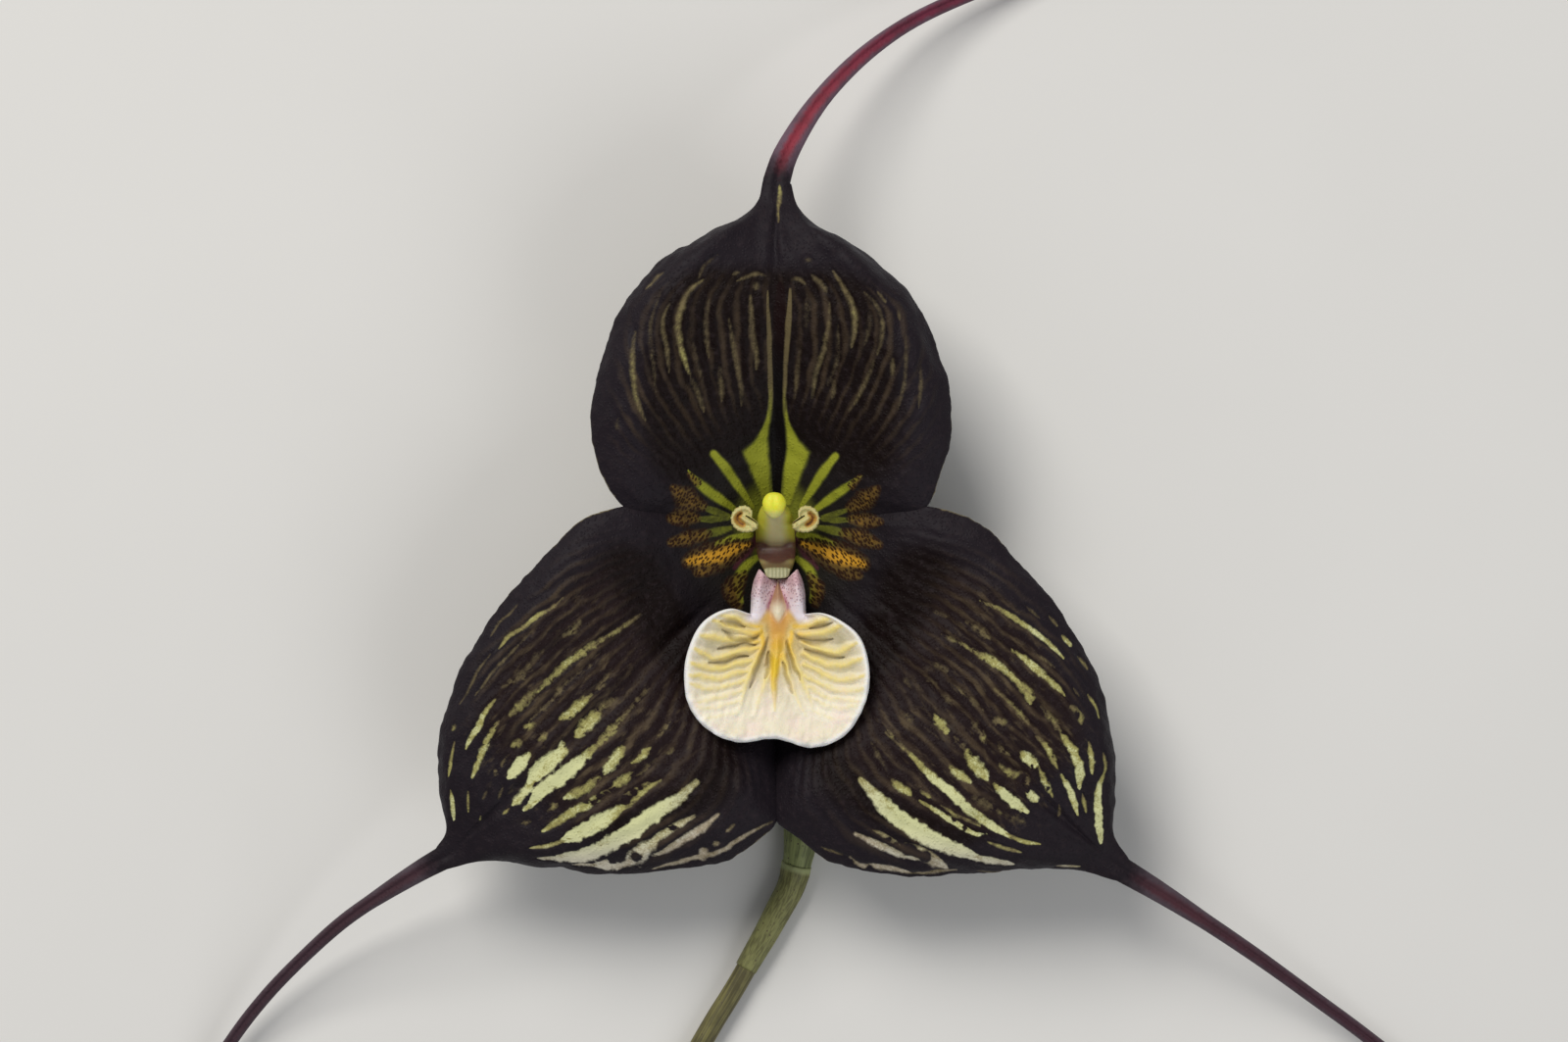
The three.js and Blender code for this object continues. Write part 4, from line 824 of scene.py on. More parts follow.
def sepal_finish():
    f = Finish("sepal_skin", specular_ior_level=0.12, sheen_weight=0.05, sheen_roughness=0.4)
    f.shader.inputs["Sheen Tint"].default_value = paint(196, 200, 226)
    rear, margin, tail = f.stored("build")
    across, along, haze = f.stored("vein")
    run = f.joined(across, along)
    fine, grain, blotch = f.noise(0.55, 4), f.noise(0.16, 2), f.noise(3.5, 3)

    # the blackish ground: brown-black in the middle of the blade, partly pigment and partly painted shade,
    # greyer towards the margins and shoulders as a painted sheen, with faint streaks along the veins
    flow, middle_shade_rim_sheen, streaked = f.stored("flow")
    inner = f.sum(middle_shade_rim_sheen, f.swing(blotch, 0.6))
    deep = f.mixed(f.step(haze, 0.0, 0.4), (17, 6, 4), (30, 18, 18))
    ground = f.mixed(f.step(inner, 0.1, 0.8), (31, 25, 30), deep)
    ground = f.mixed(f.step(fine, 0.45, 0.75, 0, 0.3), ground, (48, 38, 40))
    wander = f.scaled(f.noise(5.0, 2), 9.0)
    streaks = f.math("SINE", f.sum(f.scaled(flow, 2 * np.pi / (1.6 * MM)), wander))
    grown = f.swing(f.noise(3.2, 3, f.stretched(run, 1.0, 0.4)))
    grown = f.sum(f.scaled(grown, 4.5), f.scaled(fine, 0.9))
    streaks = f.times(f.step(f.sum(streaks, grown), 0.1, 2.6, 0, 0.75), streaked, clamp=True)
    ground = f.mixed(streaks, ground, (76, 62, 46))
    specks = f.noise(0.5, 3, f.stretched(run, 1.0, 0.35))
    specks = f.sum(specks, f.scaled(f.sum(blotch, streaks), 0.3))
    specks = f.times(f.step(specks, 0.68, 1.0), haze, clamp=True)
    ground = f.mixed(f.scaled(specks, 0.6), ground, (96, 82, 60))
    plan = f.stretched(f.place, 1, 1, 0)
    reach = f.distance(plan, (0, 0, 0))
    ground = f.mixed(f.step(reach, 10.5 * MM, 3.5 * MM, 0, 0.8), ground, (36, 35, 23))
    ground = f.mixed(f.step(reach, 8 * MM, 14 * MM, 0.35, 0), ground, (16, 11, 10))
    beside = f.distance(plan, (0, 1.7 * MM, 0))
    ground = f.mixed(f.step(beside, 4.4 * MM, 2.3 * MM, 0, 0.9), ground, (124, 128, 40))
    black = f.mixed(f.step(reach, 14 * MM, 21 * MM), (8, 4, 3), (22, 6, 5))
    ground = f.mixed(f.step(haze, -0.1, -0.8), ground, black)

    face = striped_face(f, ground, fine, grain, run, haze)
    face = starry_face(f, face, fine, run, reach)
    line = f.step(f.sum(margin, f.scaled(fine, 0.5)), 0.98, 1.24, 0, 0.8)
    face = f.mixed(line, face, (134, 122, 88))

    # the tail: wine red down its channel, greyer at its edges
    redness = f.stored("stripe")[2]
    side = f.math("ABSOLUTE", f.scaled(across, 1 / MM))
    crimson = f.mixed(f.step(tail, 0.04, 0.3), (142, 56, 68), (104, 42, 60))
    wine = f.mixed(redness, (60, 46, 52), crimson)
    grey = f.mixed(redness, (80, 70, 76), (106, 84, 96))
    thread = f.mixed(f.step(f.sum(side, f.scaled(fine, 0.4)), 0.3, 0.75), wine, grey)
    thread = f.mixed(f.step(f.noise(2.2, 3), 0.4, 0.7, 0, 0.3), thread, (58, 42, 46))
    face = f.mixed(f.step(f.sum(tail, f.swing(fine, 0.03)), 0.0, 0.05), face, thread)

    # the rear, green between dark veins
    veins = f.math("SINE", f.scaled(f.sum(f.scaled(across, 1 / MM), f.scaled(f.noise(4.0), 1.5)), 2.6))
    hind = f.mixed(f.step(f.sum(veins, f.scaled(fine, 1.2)), 0.1, 1.1), (96, 100, 58), (58, 34, 40))
    hind = f.mixed(f.step(tail, 0.0, 0.08), hind, wine)

    papillae = f.sum(f.step(f.cells(0.32), 0.5, 0.05), f.scaled(f.noise(1.1, 4), 1.5))
    return f.made(f.mixed(rear, face, hind), f.scaled(fine, 0.25, 0.45), papillae, 0.05, 0.8)


sepal_skin = sepal_finish()

# %% [markdown]
# ## The blades and their tails
# The blade is the fan surface with a rear face a millimetre behind it, closed round the margins.
# Near the tail each cross-section changes into the flattened, channelled thread of the tail, so
# blade and tail are one skin. Relief on the face comes from the same fields as its colours:
# stripes are sunk between the dark veins, and the free margin is finely toothed.

# %% Build the sepals


def cross_section(middle, across, up, width, depth):
    """Front and rear of a thread: across cos(a) width / 2 and up sin(a) depth, for a from pi to
    0 over the front, which has a channel, and below for the rear."""
    a = (1 - vein) * np.pi / 2
    side = across[:, None] * (np.cos(a) * width[:, None] / 2)[..., None]
    rise = np.sin(a) * depth[:, None]
    channel = 0.4 * depth[:, None] * bell(np.cos(a), 0.3)
    front = middle[:, None] + side + up[:, None] * (rise - channel)[..., None]
    rear = middle[:, None] + side - up[:, None] * rise[..., None]
    return front, rear


def tail_width(form, u):
    return np.interp(u, np.linspace(0, 1, len(form["widths"])), form["widths"])


def tail_thread(form):
    """Front and rear of the tail, with its across direction kept level, and its shares."""
    u = np.linspace(0, 1, TAIL_ROWS + 1)
    middle = curve(form["tail"])(u)
    ahead = unit(np.gradient(middle, axis=0))
    across = unit(stacked(ahead[:, 1], -ahead[:, 0], 0 * u))
    end = np.sqrt(np.clip((1 - u) / TIP_SHARE, 0.02, 1))
    up, width = np.cross(across, ahead), tail_width(form, u) * end
    return *cross_section(middle, across, up, width, TAIL_DEPTH * end), u


def blade_thread(face):
    """Front and rear of a thread as wide as the blade in each row."""
    first, last = face[:, 0], face[:, -1]
    across = unit(last - first + np.array([1e-6, 0, 0]))
    centre = (first + last) / 2
    up = unit(np.cross(across, unit(np.gradient(centre, axis=0))))
    width = np.linalg.norm(last - first, axis=1)
    return cross_section(centre, across, up, width, np.full(BLADE_ROWS, TAIL_DEPTH))


def free_share(margin):
    """The share of a margin where its seam with the neighbour ends."""
    seam = SEAM_DOWN if margin[0][1] < 0 else SEAM_LEFT
    s = np.linspace(0, 1, 800)
    return s[np.linalg.norm(curve(margin)(s) - margin[len(seam) - 1], axis=1).argmin()]


def star_fields(face):
    """The rays, the patches, the wine bands and the dark midline, which parts the rays."""
    plan = face[..., :2]
    groups = (RAYS, FAINT_RAYS, PATCHES, SPECKS, WINE_BANDS, MIDLINE_BAND)
    rays, faint, patches, specks, wine, midline = (drawn(plan, group) for group in groups)
    rays = np.max([rays, np.minimum(faint, FAINT)] + [inside(plan, wedge) for wedge in WEDGES], 0)
    inner = np.linalg.norm(plan, axis=-1) < STAR_REACH
    midline = np.where(inner, midline, -1)
    rays = np.where(inner, np.minimum(rays, -1.5 * midline), rays)
    return rays, np.maximum(patches, np.minimum(specks, DIM)), wine, midline


def relief(face, s, t, flow, free, stripe, seed):
    """Soft ribs along the veins, crumples, and sunk stripes. Seams and ends stay as they are."""
    out = np.abs(t)
    tucked = plateau(s, 0.06, 0.2, 0.86, 0.97)
    ribbed = RIB_RISE * np.cos(flow * np.pi * RIB_COUNT) * plateau(s, 0.15, 0.4, 0.6, 0.78)
    crumpled = ripples(face, CRUMPLES, seed + 2) * (1 - smooth(out, 0.88, 1) * (1 - free))
    sunk = STRIPE_DEPTH * smooth(stripe, -0.3, 0.4)
    return ribbed * plateau(out, 0.02, 0.1, 0.8, 0.95) + (crumpled - sunk) * tucked


def both_faces(front, rear=None):
    """Rings that go over the front and come back over the rear. Without a rear of their own,
    values are the front's on both, and one number can stand for the whole rear."""
    rear = front if rear is None else np.broadcast_to(rear, front.shape)
    return np.concatenate([front, rear[:, ::-1]], 1)


def ringed(on_face, on_tail=0.0, on_rear=None):
    """A value per point, with the tail's own value, or one number for all of it."""
    tail = np.broadcast_to(on_tail, (TAIL_ROWS + 1, VEINS))
    return both_faces(np.vstack([on_face[:-1], tail]), on_rear)


def build_sepal(name, form, seed):
    s, t = np.meshgrid(row, vein, indexing="ij")
    out, flow = np.abs(t), t / np.interp(s, *form["spread"])
    face = blade(form, s, t)
    seam_ends = np.where(t < 0, *(free_share(margin) for margin in form["margins"]))
    free = smooth(s - seam_ends, -0.02, 0.03)

    # teeth on the free margin: each row of points is stretched or drawn in a little
    edge = by_side(t, face[:, :1], face[:, -1:])
    teeth = ripples(edge, TEETH, seed)
    outward = unit(edge - face[:, VEINS // 2][:, None] + 1e-6)
    grown = (teeth * free + SEAM_OVERLAP * (1 - free)) * smooth(out, 0.8, 1)
    face = face + outward * (grown * (1 - smooth(s, 0.93, 1)))[..., None]
    inset = np.linalg.norm(face - by_side(t, face[:, :1], face[:, -1:]), axis=-1)

    stripe, bright = stripe_fields(face, STROKES[name], DOTS.get(name, []), form["softness"])
    rays, patches, wine, midline = star_fields(face)
    stripe = np.minimum(stripe, -midline)
    up = normals(face)
    face = face + up * relief(face, s, t, flow, free, stripe, seed)[..., None]

    # the two faces close round the free margins, and turn into the thread of the tail
    thick = BLADE_THICK + (MARGIN_THICK - BLADE_THICK) * out**1.5 * smooth(s, 0, 0.3)
    closing = np.sqrt(1 - (1 - np.clip(inset / MARGIN_ROUND, 0.02, 1)) ** 2)
    front = face - up * ((1 - closing) * free * thick / 2)[..., None]
    rear = front - up * (closing * thick)[..., None]
    blade_front, blade_rear = blade_thread(face)
    tail_front, tail_rear, along_tail = tail_thread(form)
    share = smooth(row, TAIL_START, 1)[:, None, None]
    front = np.vstack([(front + (blade_front - front) * share)[:-1], tail_front])
    rear = np.vstack([(rear + (blade_rear - rear) * share)[:-1], tail_rear])
    rings = both_faces(front, rear)
    rings[..., 2] = np.maximum(rings[..., 2], 0.02)

    # where the shader's colours lie
    x, y = face[..., 0], face[..., 1]
    # 1 in the middle of the blade, where the ground is painted darker, partly pigment and partly painted
    # shade; 0 towards the margins and shoulders, where it is painted greyer as a sheen
    middle_shade_rim_sheen = plateau(s, 0.16, 0.3, 0.66, 0.8) * (1 - smooth(out, 0.5, 0.92))
    # painted shade: the faint streaks fade out in the deep cleft below the lip, which stays plain dark
    cleft = (1 - smooth(np.abs(x), 4, 11)) * smooth(-y, 12, 18)
    streaked = plateau(s, 0.28, 0.46, 0.62, 0.74) * (1 - smooth(out, 0.75, 0.95)) * (1 - 0.85 * cleft)
    low_side = smooth(-y, 24, 30) * smooth(out, 0.5, 0.95)
    pink = np.clip(low_side + smooth(12 - np.abs(x), 0, 8) * smooth(-y, 20, 25), 0, 1)
    haze = plateau(s, 0.3, 0.45, 0.74, 0.84) * (1 - smooth(np.abs(t - form["lean"]), 0.4, 0.8))
    haze = haze * form["dust"] - smooth(midline, -0.3, 0.3)
    margin = (1 - np.clip(inset / 0.9, 0, 1)) * free * (1 - smooth(s, 0.9, 1))
    half = np.linalg.norm(edge - face[:, VEINS // 2][:, None], axis=-1)
    tail_u = along_tail[:, None]
    tail_side = vein * tail_width(form, tail_u) / 2
    run = ringed(t * half, tail_side) * MM, ringed(s * 40, 40 + 60 * tail_u) * MM
    grow(
        name + "_skin", rings, sepal_skin, "sepal", [name],
        stripe=stacked(ringed(stripe, -1, -1), ringed(bright), ringed(pink, form["redness"])),
        star=stacked(ringed(rays, -1, -1), ringed(patches, -1, -1), ringed(wine, -1, -1)),
        build=stacked(ringed(0 * s, 0, 1.0), ringed(margin), ringed(0 * s, tail_u)),
        vein=stacked(*run, ringed(haze)),
        flow=stacked(ringed(flow * 16) * MM, ringed(middle_shade_rim_sheen), ringed(streaked)),
    )


for seed, (name, form) in enumerate(SEPALS.items()):
    build_sepal(name, form, 10 * seed + 1)

# %% [markdown]
# ## The lip
# The lip starts in a short claw with two raised lobes and a pale keel between them, and spreads
# into a shallow saucer. Gill-like ribs leave two curved trunks and the midline, sag, and climb
# to the smooth white rim. Each rib is drawn in plan as a stroke through a few points, and the
# stored field of the nearest rib both lifts the surface and colours its crest.

# %% Measures of the lip
LIP_MIDDLE = 0.28
LIP_CENTRE = np.array([0.2, -12.5])
LIP_THICK, CLAW_THICK = 0.7, 0.85
RIM = [
    [-2.35, -6.9, 12.5], [-4.2, -6.45, 13.5], [-6.5, -7.5, 14], [-8, -10, 14.2], [-8.45, -12.8, 14.2],
    [-7.8, -15.9, 14.1], [-5.6, -18.1, 14], [-3.2, -18.85, 13.9], [-0.1, -18.5, 13.8], [3.5, -19.35, 13.9],
    [6.6, -18.1, 14], [8.3, -15.3, 14.1], [8.75, -12.4, 14.2], [8, -9.3, 14.2], [6.2, -7.6, 14],
    [4.4, -6.85, 13.5], [2.8, -6.9, 12.5],
]
THROAT = [
    [-2.3, -6.95, 12.5], [-1.6, -7.9, 12.3], [0.28, -8.5, 12.1], [2.1, -7.9, 12.3], [2.75, -6.95, 12.5],
]
CLAW = [  # y, half width, height of the middle, height of the lobes
    [-3.75, 1.95, 11.0, 12.5], [-4.3, 2.35, 11.2, 12.9], [-5.1, 2.52, 11.5, 12.9],
    [-6, 2.55, 11.8, 12.7], [-6.9, 2.6, 12, 12.5],
]
HORN = [[0, 0.42, 0.86, 0.93, 1], [0, 0.05, 0.92, 0.95, 0.6]]  # rise of the claw's two points, by |v|
KEEL = [  # half width of the pale keel, by -y
    [3.9, 4.4, 5.0, 5.6, 6.2, 6.8, 7.3, 7.8], [0.04, 0.22, 0.42, 0.62, 0.84, 0.82, 0.55, 0.1],
]
RIBS = [  # crests from a trunk towards the rim
    [(-1.33, -8.13), (-2.34, -7.94), (-3.49, -7.43), (-4.38, -7.18)],
    [(-1.33, -8.64), (-2.34, -8.77), (-3.74, -8.26), (-4.76, -7.88)],
    [(-1.58, -9.47), (-3.11, -9.25), (-4.5, -9.34), (-5.9, -9.08)],
    [(-1.52, -10.16), (-3.11, -10.32), (-4.38, -10.8), (-5.65, -11.08), (-6.47, -10.67)],
    [(-2.22, -11.31), (-3.49, -11.5), (-4.5, -11.88), (-5.77, -11.97), (-6.98, -11.71)],
    [(-2.53, -12.26), (-3.61, -12.42), (-4.76, -12.86), (-5.9, -12.98), (-7.17, -12.7)],
    [(-2.85, -13.15), (-3.87, -13.44), (-5.14, -13.82), (-6.41, -13.91), (-7.23, -13.62)],
    [(-3.04, -14.16), (-4.38, -14.48), (-5.65, -14.84), (-6.85, -15.05)],
    [(-3.17, -15.05), (-4.5, -15.31), (-5.77, -15.69), (-6.6, -15.62)],
    [(-3.36, -16.07), (-4.63, -16.32), (-5.65, -16.51)],
    [(1.72, -8.13), (2.86, -8.03), (4, -7.69), (4.89, -7.31)],
    [(2.29, -8.77), (3.88, -8.79), (5.02, -8.51), (5.85, -8.13)],
    [(2.61, -9.59), (3.75, -10.04), (4.89, -10.44), (5.97, -10.48), (6.54, -10.16)],
    [(2.61, -10.67), (3.88, -11.18), (5.02, -11.66), (6.16, -11.71), (7.05, -11.43)],
    [(2.67, -11.62), (3.88, -12.26), (4.89, -12.77), (6.04, -13.11), (7.31, -12.86)],
    [(2.73, -12.64), (3.88, -13.24), (5.02, -13.78), (6.16, -14.12), (7.56, -14)],
    [(3.05, -13.72), (4, -14.33), (5.15, -14.76), (7.05, -15.01)],
    [(3.31, -14.67), (4.51, -15.37), (5.91, -15.69), (7.43, -15.43)],
    [(3.5, -15.75), (4.64, -16.45), (6.16, -16.64)],
]
TRUNKS = [
    [
        (-1.33, -8.51), (-1.14, -9.66), (-1.58, -10.8), (-2.09, -11.88), (-2.6, -13.08),
        (-2.98, -14.35), (-3.3, -15.88),
    ],
    [
        (1.53, -8.64), (1.34, -9.78), (1.66, -10.93), (2.04, -11.88), (2.54, -13.08),
        (3.05, -14.42), (3.56, -15.88),
    ],
    [(0.77, -10.8), (1.08, -12.32), (1.59, -13.85), (2.29, -15.31), (2.8, -16.38)],
    [(-0.63, -12.2), (-1.07, -13.72), (-1.58, -15.24), (-1.84, -16.26)],
]
CREASES = [  # the deepest furrows
    [(-1.07, -8.51), (-1.84, -9.15), (-2.98, -9.47), (-4.12, -8.96), (-4.88, -8.39)],
    [(-0.69, -9.15), (-1.01, -10.29), (-1.46, -11.43), (-1.9, -12.58), (-2.28, -13.72)],
    [(1.08, -9.4), (1.27, -10.67), (1.72, -11.81), (2.29, -13.08)],
    [(1.66, -8.64), (2.35, -9.27), (3.5, -9.55), (4.51, -9.47), (5.4, -9.21)],
    [(-2.85, -8.13), (-3.87, -7.88), (-5.01, -7.62)],
    [(-1.84, -9.85), (-3.11, -9.78), (-4.38, -10.04), (-5.26, -10.16)],
    [(-2.47, -10.8), (-3.74, -10.99), (-4.76, -11.43), (-6.15, -11.5)],
    [(-0.57, -10.42), (-0.57, -11.69), (-0.95, -12.96)],
    [(0.7, -11.43), (0.96, -12.7), (1.59, -14.35)],
    [(2.73, -10.29), (4, -10.67), (5.27, -10.99), (6.42, -10.93)],
    [(3.24, -8.26), (4.26, -8.07), (5.27, -7.75)],
]
MIDLINE = [
    (0.32, -6.99), (0.26, -8.64), (0.13, -10.16), (0, -11.69), (-0.12, -13.08), (-0.06, -14.73),
    (-0.02, -15.9),
]
# half widths of the strokes, evenly spaced from the throat outwards
RIB_HALVES, TRUNK_HALVES = [0.4, 0.55, 0.6, 0.55, 0.35], [0.45, 0.55, 0.6, 0.5, 0.3]
CREASE_HALVES, MIDLINE_HALVES = [0.1, 0.3, 0.32, 0.1], [0.7, 0.66, 0.5, 0.4, 0.3]
GOLD_HALVES = [1.0, 0.85, 0.55, 0.36, 0.1]  # of the colour along the midline
RIB_REACH = 1.1  # how far a rib runs on past its last point
FAN_COLUMNS, CLAW_LINES, THROAT_LINES, FAN_LINES = 331, 36, 10, 100

# %% Shape of the lip


def highest(plan, paths, halves, longer=0.0):
    """The greatest field of several strokes, each lengthened straight on at its end."""
    fields = []
    for path in paths:
        path = np.array(path, float)
        beyond = path[-1] + longer * unit(path[-1] - path[-2])
        fields.append(stroke(plan, np.vstack([path, beyond]) if longer else path, halves, 12)[0])
    return np.max(fields, 0)


def claw_surface(v):
    """Cross-sections: two lobes, a bell in |v|, over a groove, and a lens of a keel in it."""
    rows = curve(CLAW)(np.linspace(0, 1, CLAW_LINES))
    y, half, middle, side = (rows[:, [k]] for k in range(4))
    lobes = bell(np.abs(v) - 0.72, 0.3)
    rolled = 0.35 * smooth(np.abs(v), 0.86, 1) ** 2
    x = LIP_MIDDLE + half * v
    horn = np.interp(np.abs(v), *HORN) * (1 - smooth(-y, 3.75, 4.6))
    keel = 0.5 * smooth(lens(x, y + 0 * v), 0, 1) - 0.15 * bell(v, 0.3) * (1 - smooth(-y, 5.6, 6.6))
    return stacked(x, y + horn, middle + (side - middle) * lobes - rolled + keel)


def lens(x, y):
    """1 along the keel's middle and 0 on its pointed outline, whose half width follows y."""
    return 1 - np.abs(x - 0.26) / np.interp(-y, *KEEL)


def fan_surface(share):
    """From throat to rim along a bent line, rising as out^2.4, with a soft swell."""
    out = np.linspace(0.02, 1, FAN_LINES)[:, None] ** 0.9
    throat, rim = curve(THROAT)(share)[None], curve(RIM)(share)[None]
    sag = np.array([0, -1.3, 0]) * np.sin(2 * np.pi * np.abs(share - 0.5))[None, :, None]
    bend = throat + (rim - throat) * 0.45 + sag
    o = out[..., None]
    place = throat * (1 - o) ** 2 + bend * 2 * o * (1 - o) + rim * o**2
    place[..., 2] = throat[..., 2] + (rim - throat)[..., 2] * out**2.4 + 0.3 * np.sin(np.pi * out)
    return place, out


def lip_relief(plan, field, crease, on_fan, from_rim, lower):
    """Raised ribs, sunk creases and fine wrinkles. They fade at the throat and at the rim, which
    stands up a little itself."""
    fades = smooth(on_fan, 0.0, 0.15) * smooth(from_rim, 0.2, 1.6)
    ribbed = (0.46 - 0.3 * lower) * (smooth(field, -0.25, 1) - 0.5) * fades
    fine = 0.035 * ripple(plan * [1, 0.6], 0.8, 71) + 0.05 * ripple(plan, 2.2, 72)
    wrinkled = fine * smooth(on_fan, 0.1, 0.5) * (0.4 + 0.8 * lower) + 0.16 * bell(on_fan - 0.92, 0.06)
    return ribbed - 0.3 * smooth(crease, -0.6, 0.8) * fades + wrinkled, crease * fades


def claw_share(x, y):
    """1 on the claw and 0 on the saucer. The line between them reaches lowest in the middle and
    at the sides."""
    beside = np.abs(x - LIP_MIDDLE)
    claw_end = 7.3 + 0.45 * bell(beside, 0.45) + 0.55 * smooth(beside, 1.2, 2.0)
    claw_end = claw_end - 0.5 * bell(beside - 0.95, 0.4)
    return smooth(claw_end + y, -0.25, 0.65) * (1 - smooth(beside, 2.4, 3.7))


def lip_skin(material):
    share = np.linspace(0, 1, FAN_COLUMNS)
    fan, out = fan_surface(share)
    claw = claw_surface(2 * share - 1)
    between = np.linspace(0, 1, THROAT_LINES + 2)[1:-1, None, None]
    face = np.vstack([claw, claw[-1] + (fan[0] - claw[-1]) * between, fan])
    above = np.ones((CLAW_LINES + THROAT_LINES, 1))
    on_fan = np.vstack([0 * above, out]) * np.ones(FAN_COLUMNS)
    plan = face[..., :2].copy()
    x, y = plan[..., 0], plan[..., 1]
    wandering = plan + 0.05 * ripple(plan, 1.7, 75)[..., None]
    field = highest(wandering, RIBS, RIB_HALVES, longer=RIB_REACH)
    field = np.maximum(field, highest(wandering, TRUNKS, TRUNK_HALVES))
    field = np.maximum(field, stroke(wandering, MIDLINE, MIDLINE_HALVES)[0])
    from_rim = np.linalg.norm(face - face[-1], axis=-1)
    lower = smooth(-y, 12, 16.5)
    crease = highest(wandering, CREASES, CREASE_HALVES)
    raised, crease = lip_relief(plan, field, crease, on_fan, from_rim, lower)
    crimp = 0.02 * ripple(plan, 4.0, 73) + 0.025 * lower * ripple(plan, 1.3, 74)
    face[..., :2] += unit(plan - LIP_CENTRE) * (crimp * smooth(on_fan, 0.85, 1))[..., None]
    face[..., 2] += raised + 0.1 * lower * ripple(plan, 1.4, 76) * smooth(on_fan, 0.8, 1)

    flat_side = smooth(np.abs(2 * share - 1), 0.97, 1) * np.vstack([above, 0 * out])
    closing = np.clip(1 - smooth(on_fan, 0.955, 1) ** 2, 0.01, 1) * np.clip(1 - flat_side, 0.01, 1)
    thick = CLAW_THICK + (LIP_THICK - CLAW_THICK) * on_fan
    front, rear = face.copy(), face.copy()
    front[..., 2] += (np.sqrt(closing) - 1) * thick / 2
    rear[..., 2] -= (np.sqrt(closing) + 1) * thick / 2 + raised * 0.6
    rings = both_faces(front, rear)

    warm = bell(np.hypot((x - 0.25) * 0.8, (y + 8.3) * 0.7), 2.4)
    middle_line = smooth(stroke(plan, MIDLINE, GOLD_HALVES)[0], -0.3, 0.6)
    # painted shade: 1 towards the throat and away from the rim, where the furrows and slopes are painted
    # darker
    throat_shade = (1 - smooth(-y, 10.5, 17)) * smooth(from_rim, 0.5, 2.2)
    rim = 1 - smooth(from_rim, 0.12, 0.75)
    grow(
        "lip_skin", rings, material, "lip", ["lip"],
        rib=stacked(both_faces(field), both_faces(warm), both_faces(middle_line)),
        claw=stacked(
            both_faces(claw_share(x, y)), both_faces(np.clip(lens(x, y), -2, 1)), both_faces(throat_shade)),
        rim=stacked(both_faces(rim), both_faces(0 * field, 1.0), both_faces(lower)),
        crease=both_faces(crease),
    )


# %% [markdown]
# ## The finish of the lip
# Cream flesh, slightly translucent, with yellow crests that turn orange at the throat. The furrows
# between them are painted darker as shade, most towards the throat, and the deepest creases carry
# painted brown shade. The rim is white. The claw is pinkish white, peppered with tiny wine coloured
# dots, with a tan and cream keel outlined in dark pink. Its lower lobes are paler, partly their own
# white and partly a painted highlight.

# %% Lip material


def claw_face(f, keel, y, soft):
    """Pinkish white, peppered above, round a keel that is tan at its tip and outlined in pink."""
    # paler towards the lower lobes: partly the claw's own white, partly a painted highlight on the lobes
    low = f.step(y, -5.0 * MM, -6.4 * MM)
    pale = f.step(f.sum(soft, f.scaled(low, 0.6)), 0.3, 1.0)
    skin = f.mixed(pale, (224, 196, 200), (236, 226, 230))
    inward = f.step(keel, -2.0, -0.3)
    skin = f.mixed(f.times(inward, f.scaled(low, -0.3, 0.5)), skin, (204, 154, 160))
    skin = f.mixed(f.step(y, -4.7 * MM, -3.8 * MM, 0, 0.55), skin, (202, 156, 162))
    pepper = f.times(f.step(f.cells(0.25), 0.42, 0.3), f.step(y, -6.7 * MM, -5.4 * MM))
    skin = f.mixed(f.times(pepper, f.scaled(inward, 0.3, 0.5)), skin, (120, 50, 72))
    outline = f.times(f.step(keel, -0.6, -0.05), f.step(y, -7.1 * MM, -6.6 * MM))
    outline = f.times(outline, f.step(y, -4.9 * MM, -5.6 * MM, 0.3, 1.0))
    skin = f.mixed(f.scaled(outline, 0.8), skin, (150, 66, 82))
    heart = f.mixed(f.step(keel, 0.1, 0.7), (198, 170, 140), (228, 216, 186))
    tip = f.times(f.step(y, -6.7 * MM, -5.3 * MM), f.step(y, -3.7 * MM, -4.3 * MM))
    heart = f.mixed(f.scaled(tip, 0.9), heart, (160, 116, 84))
    return f.mixed(f.step(keel, -0.05, 0.2), skin, heart)


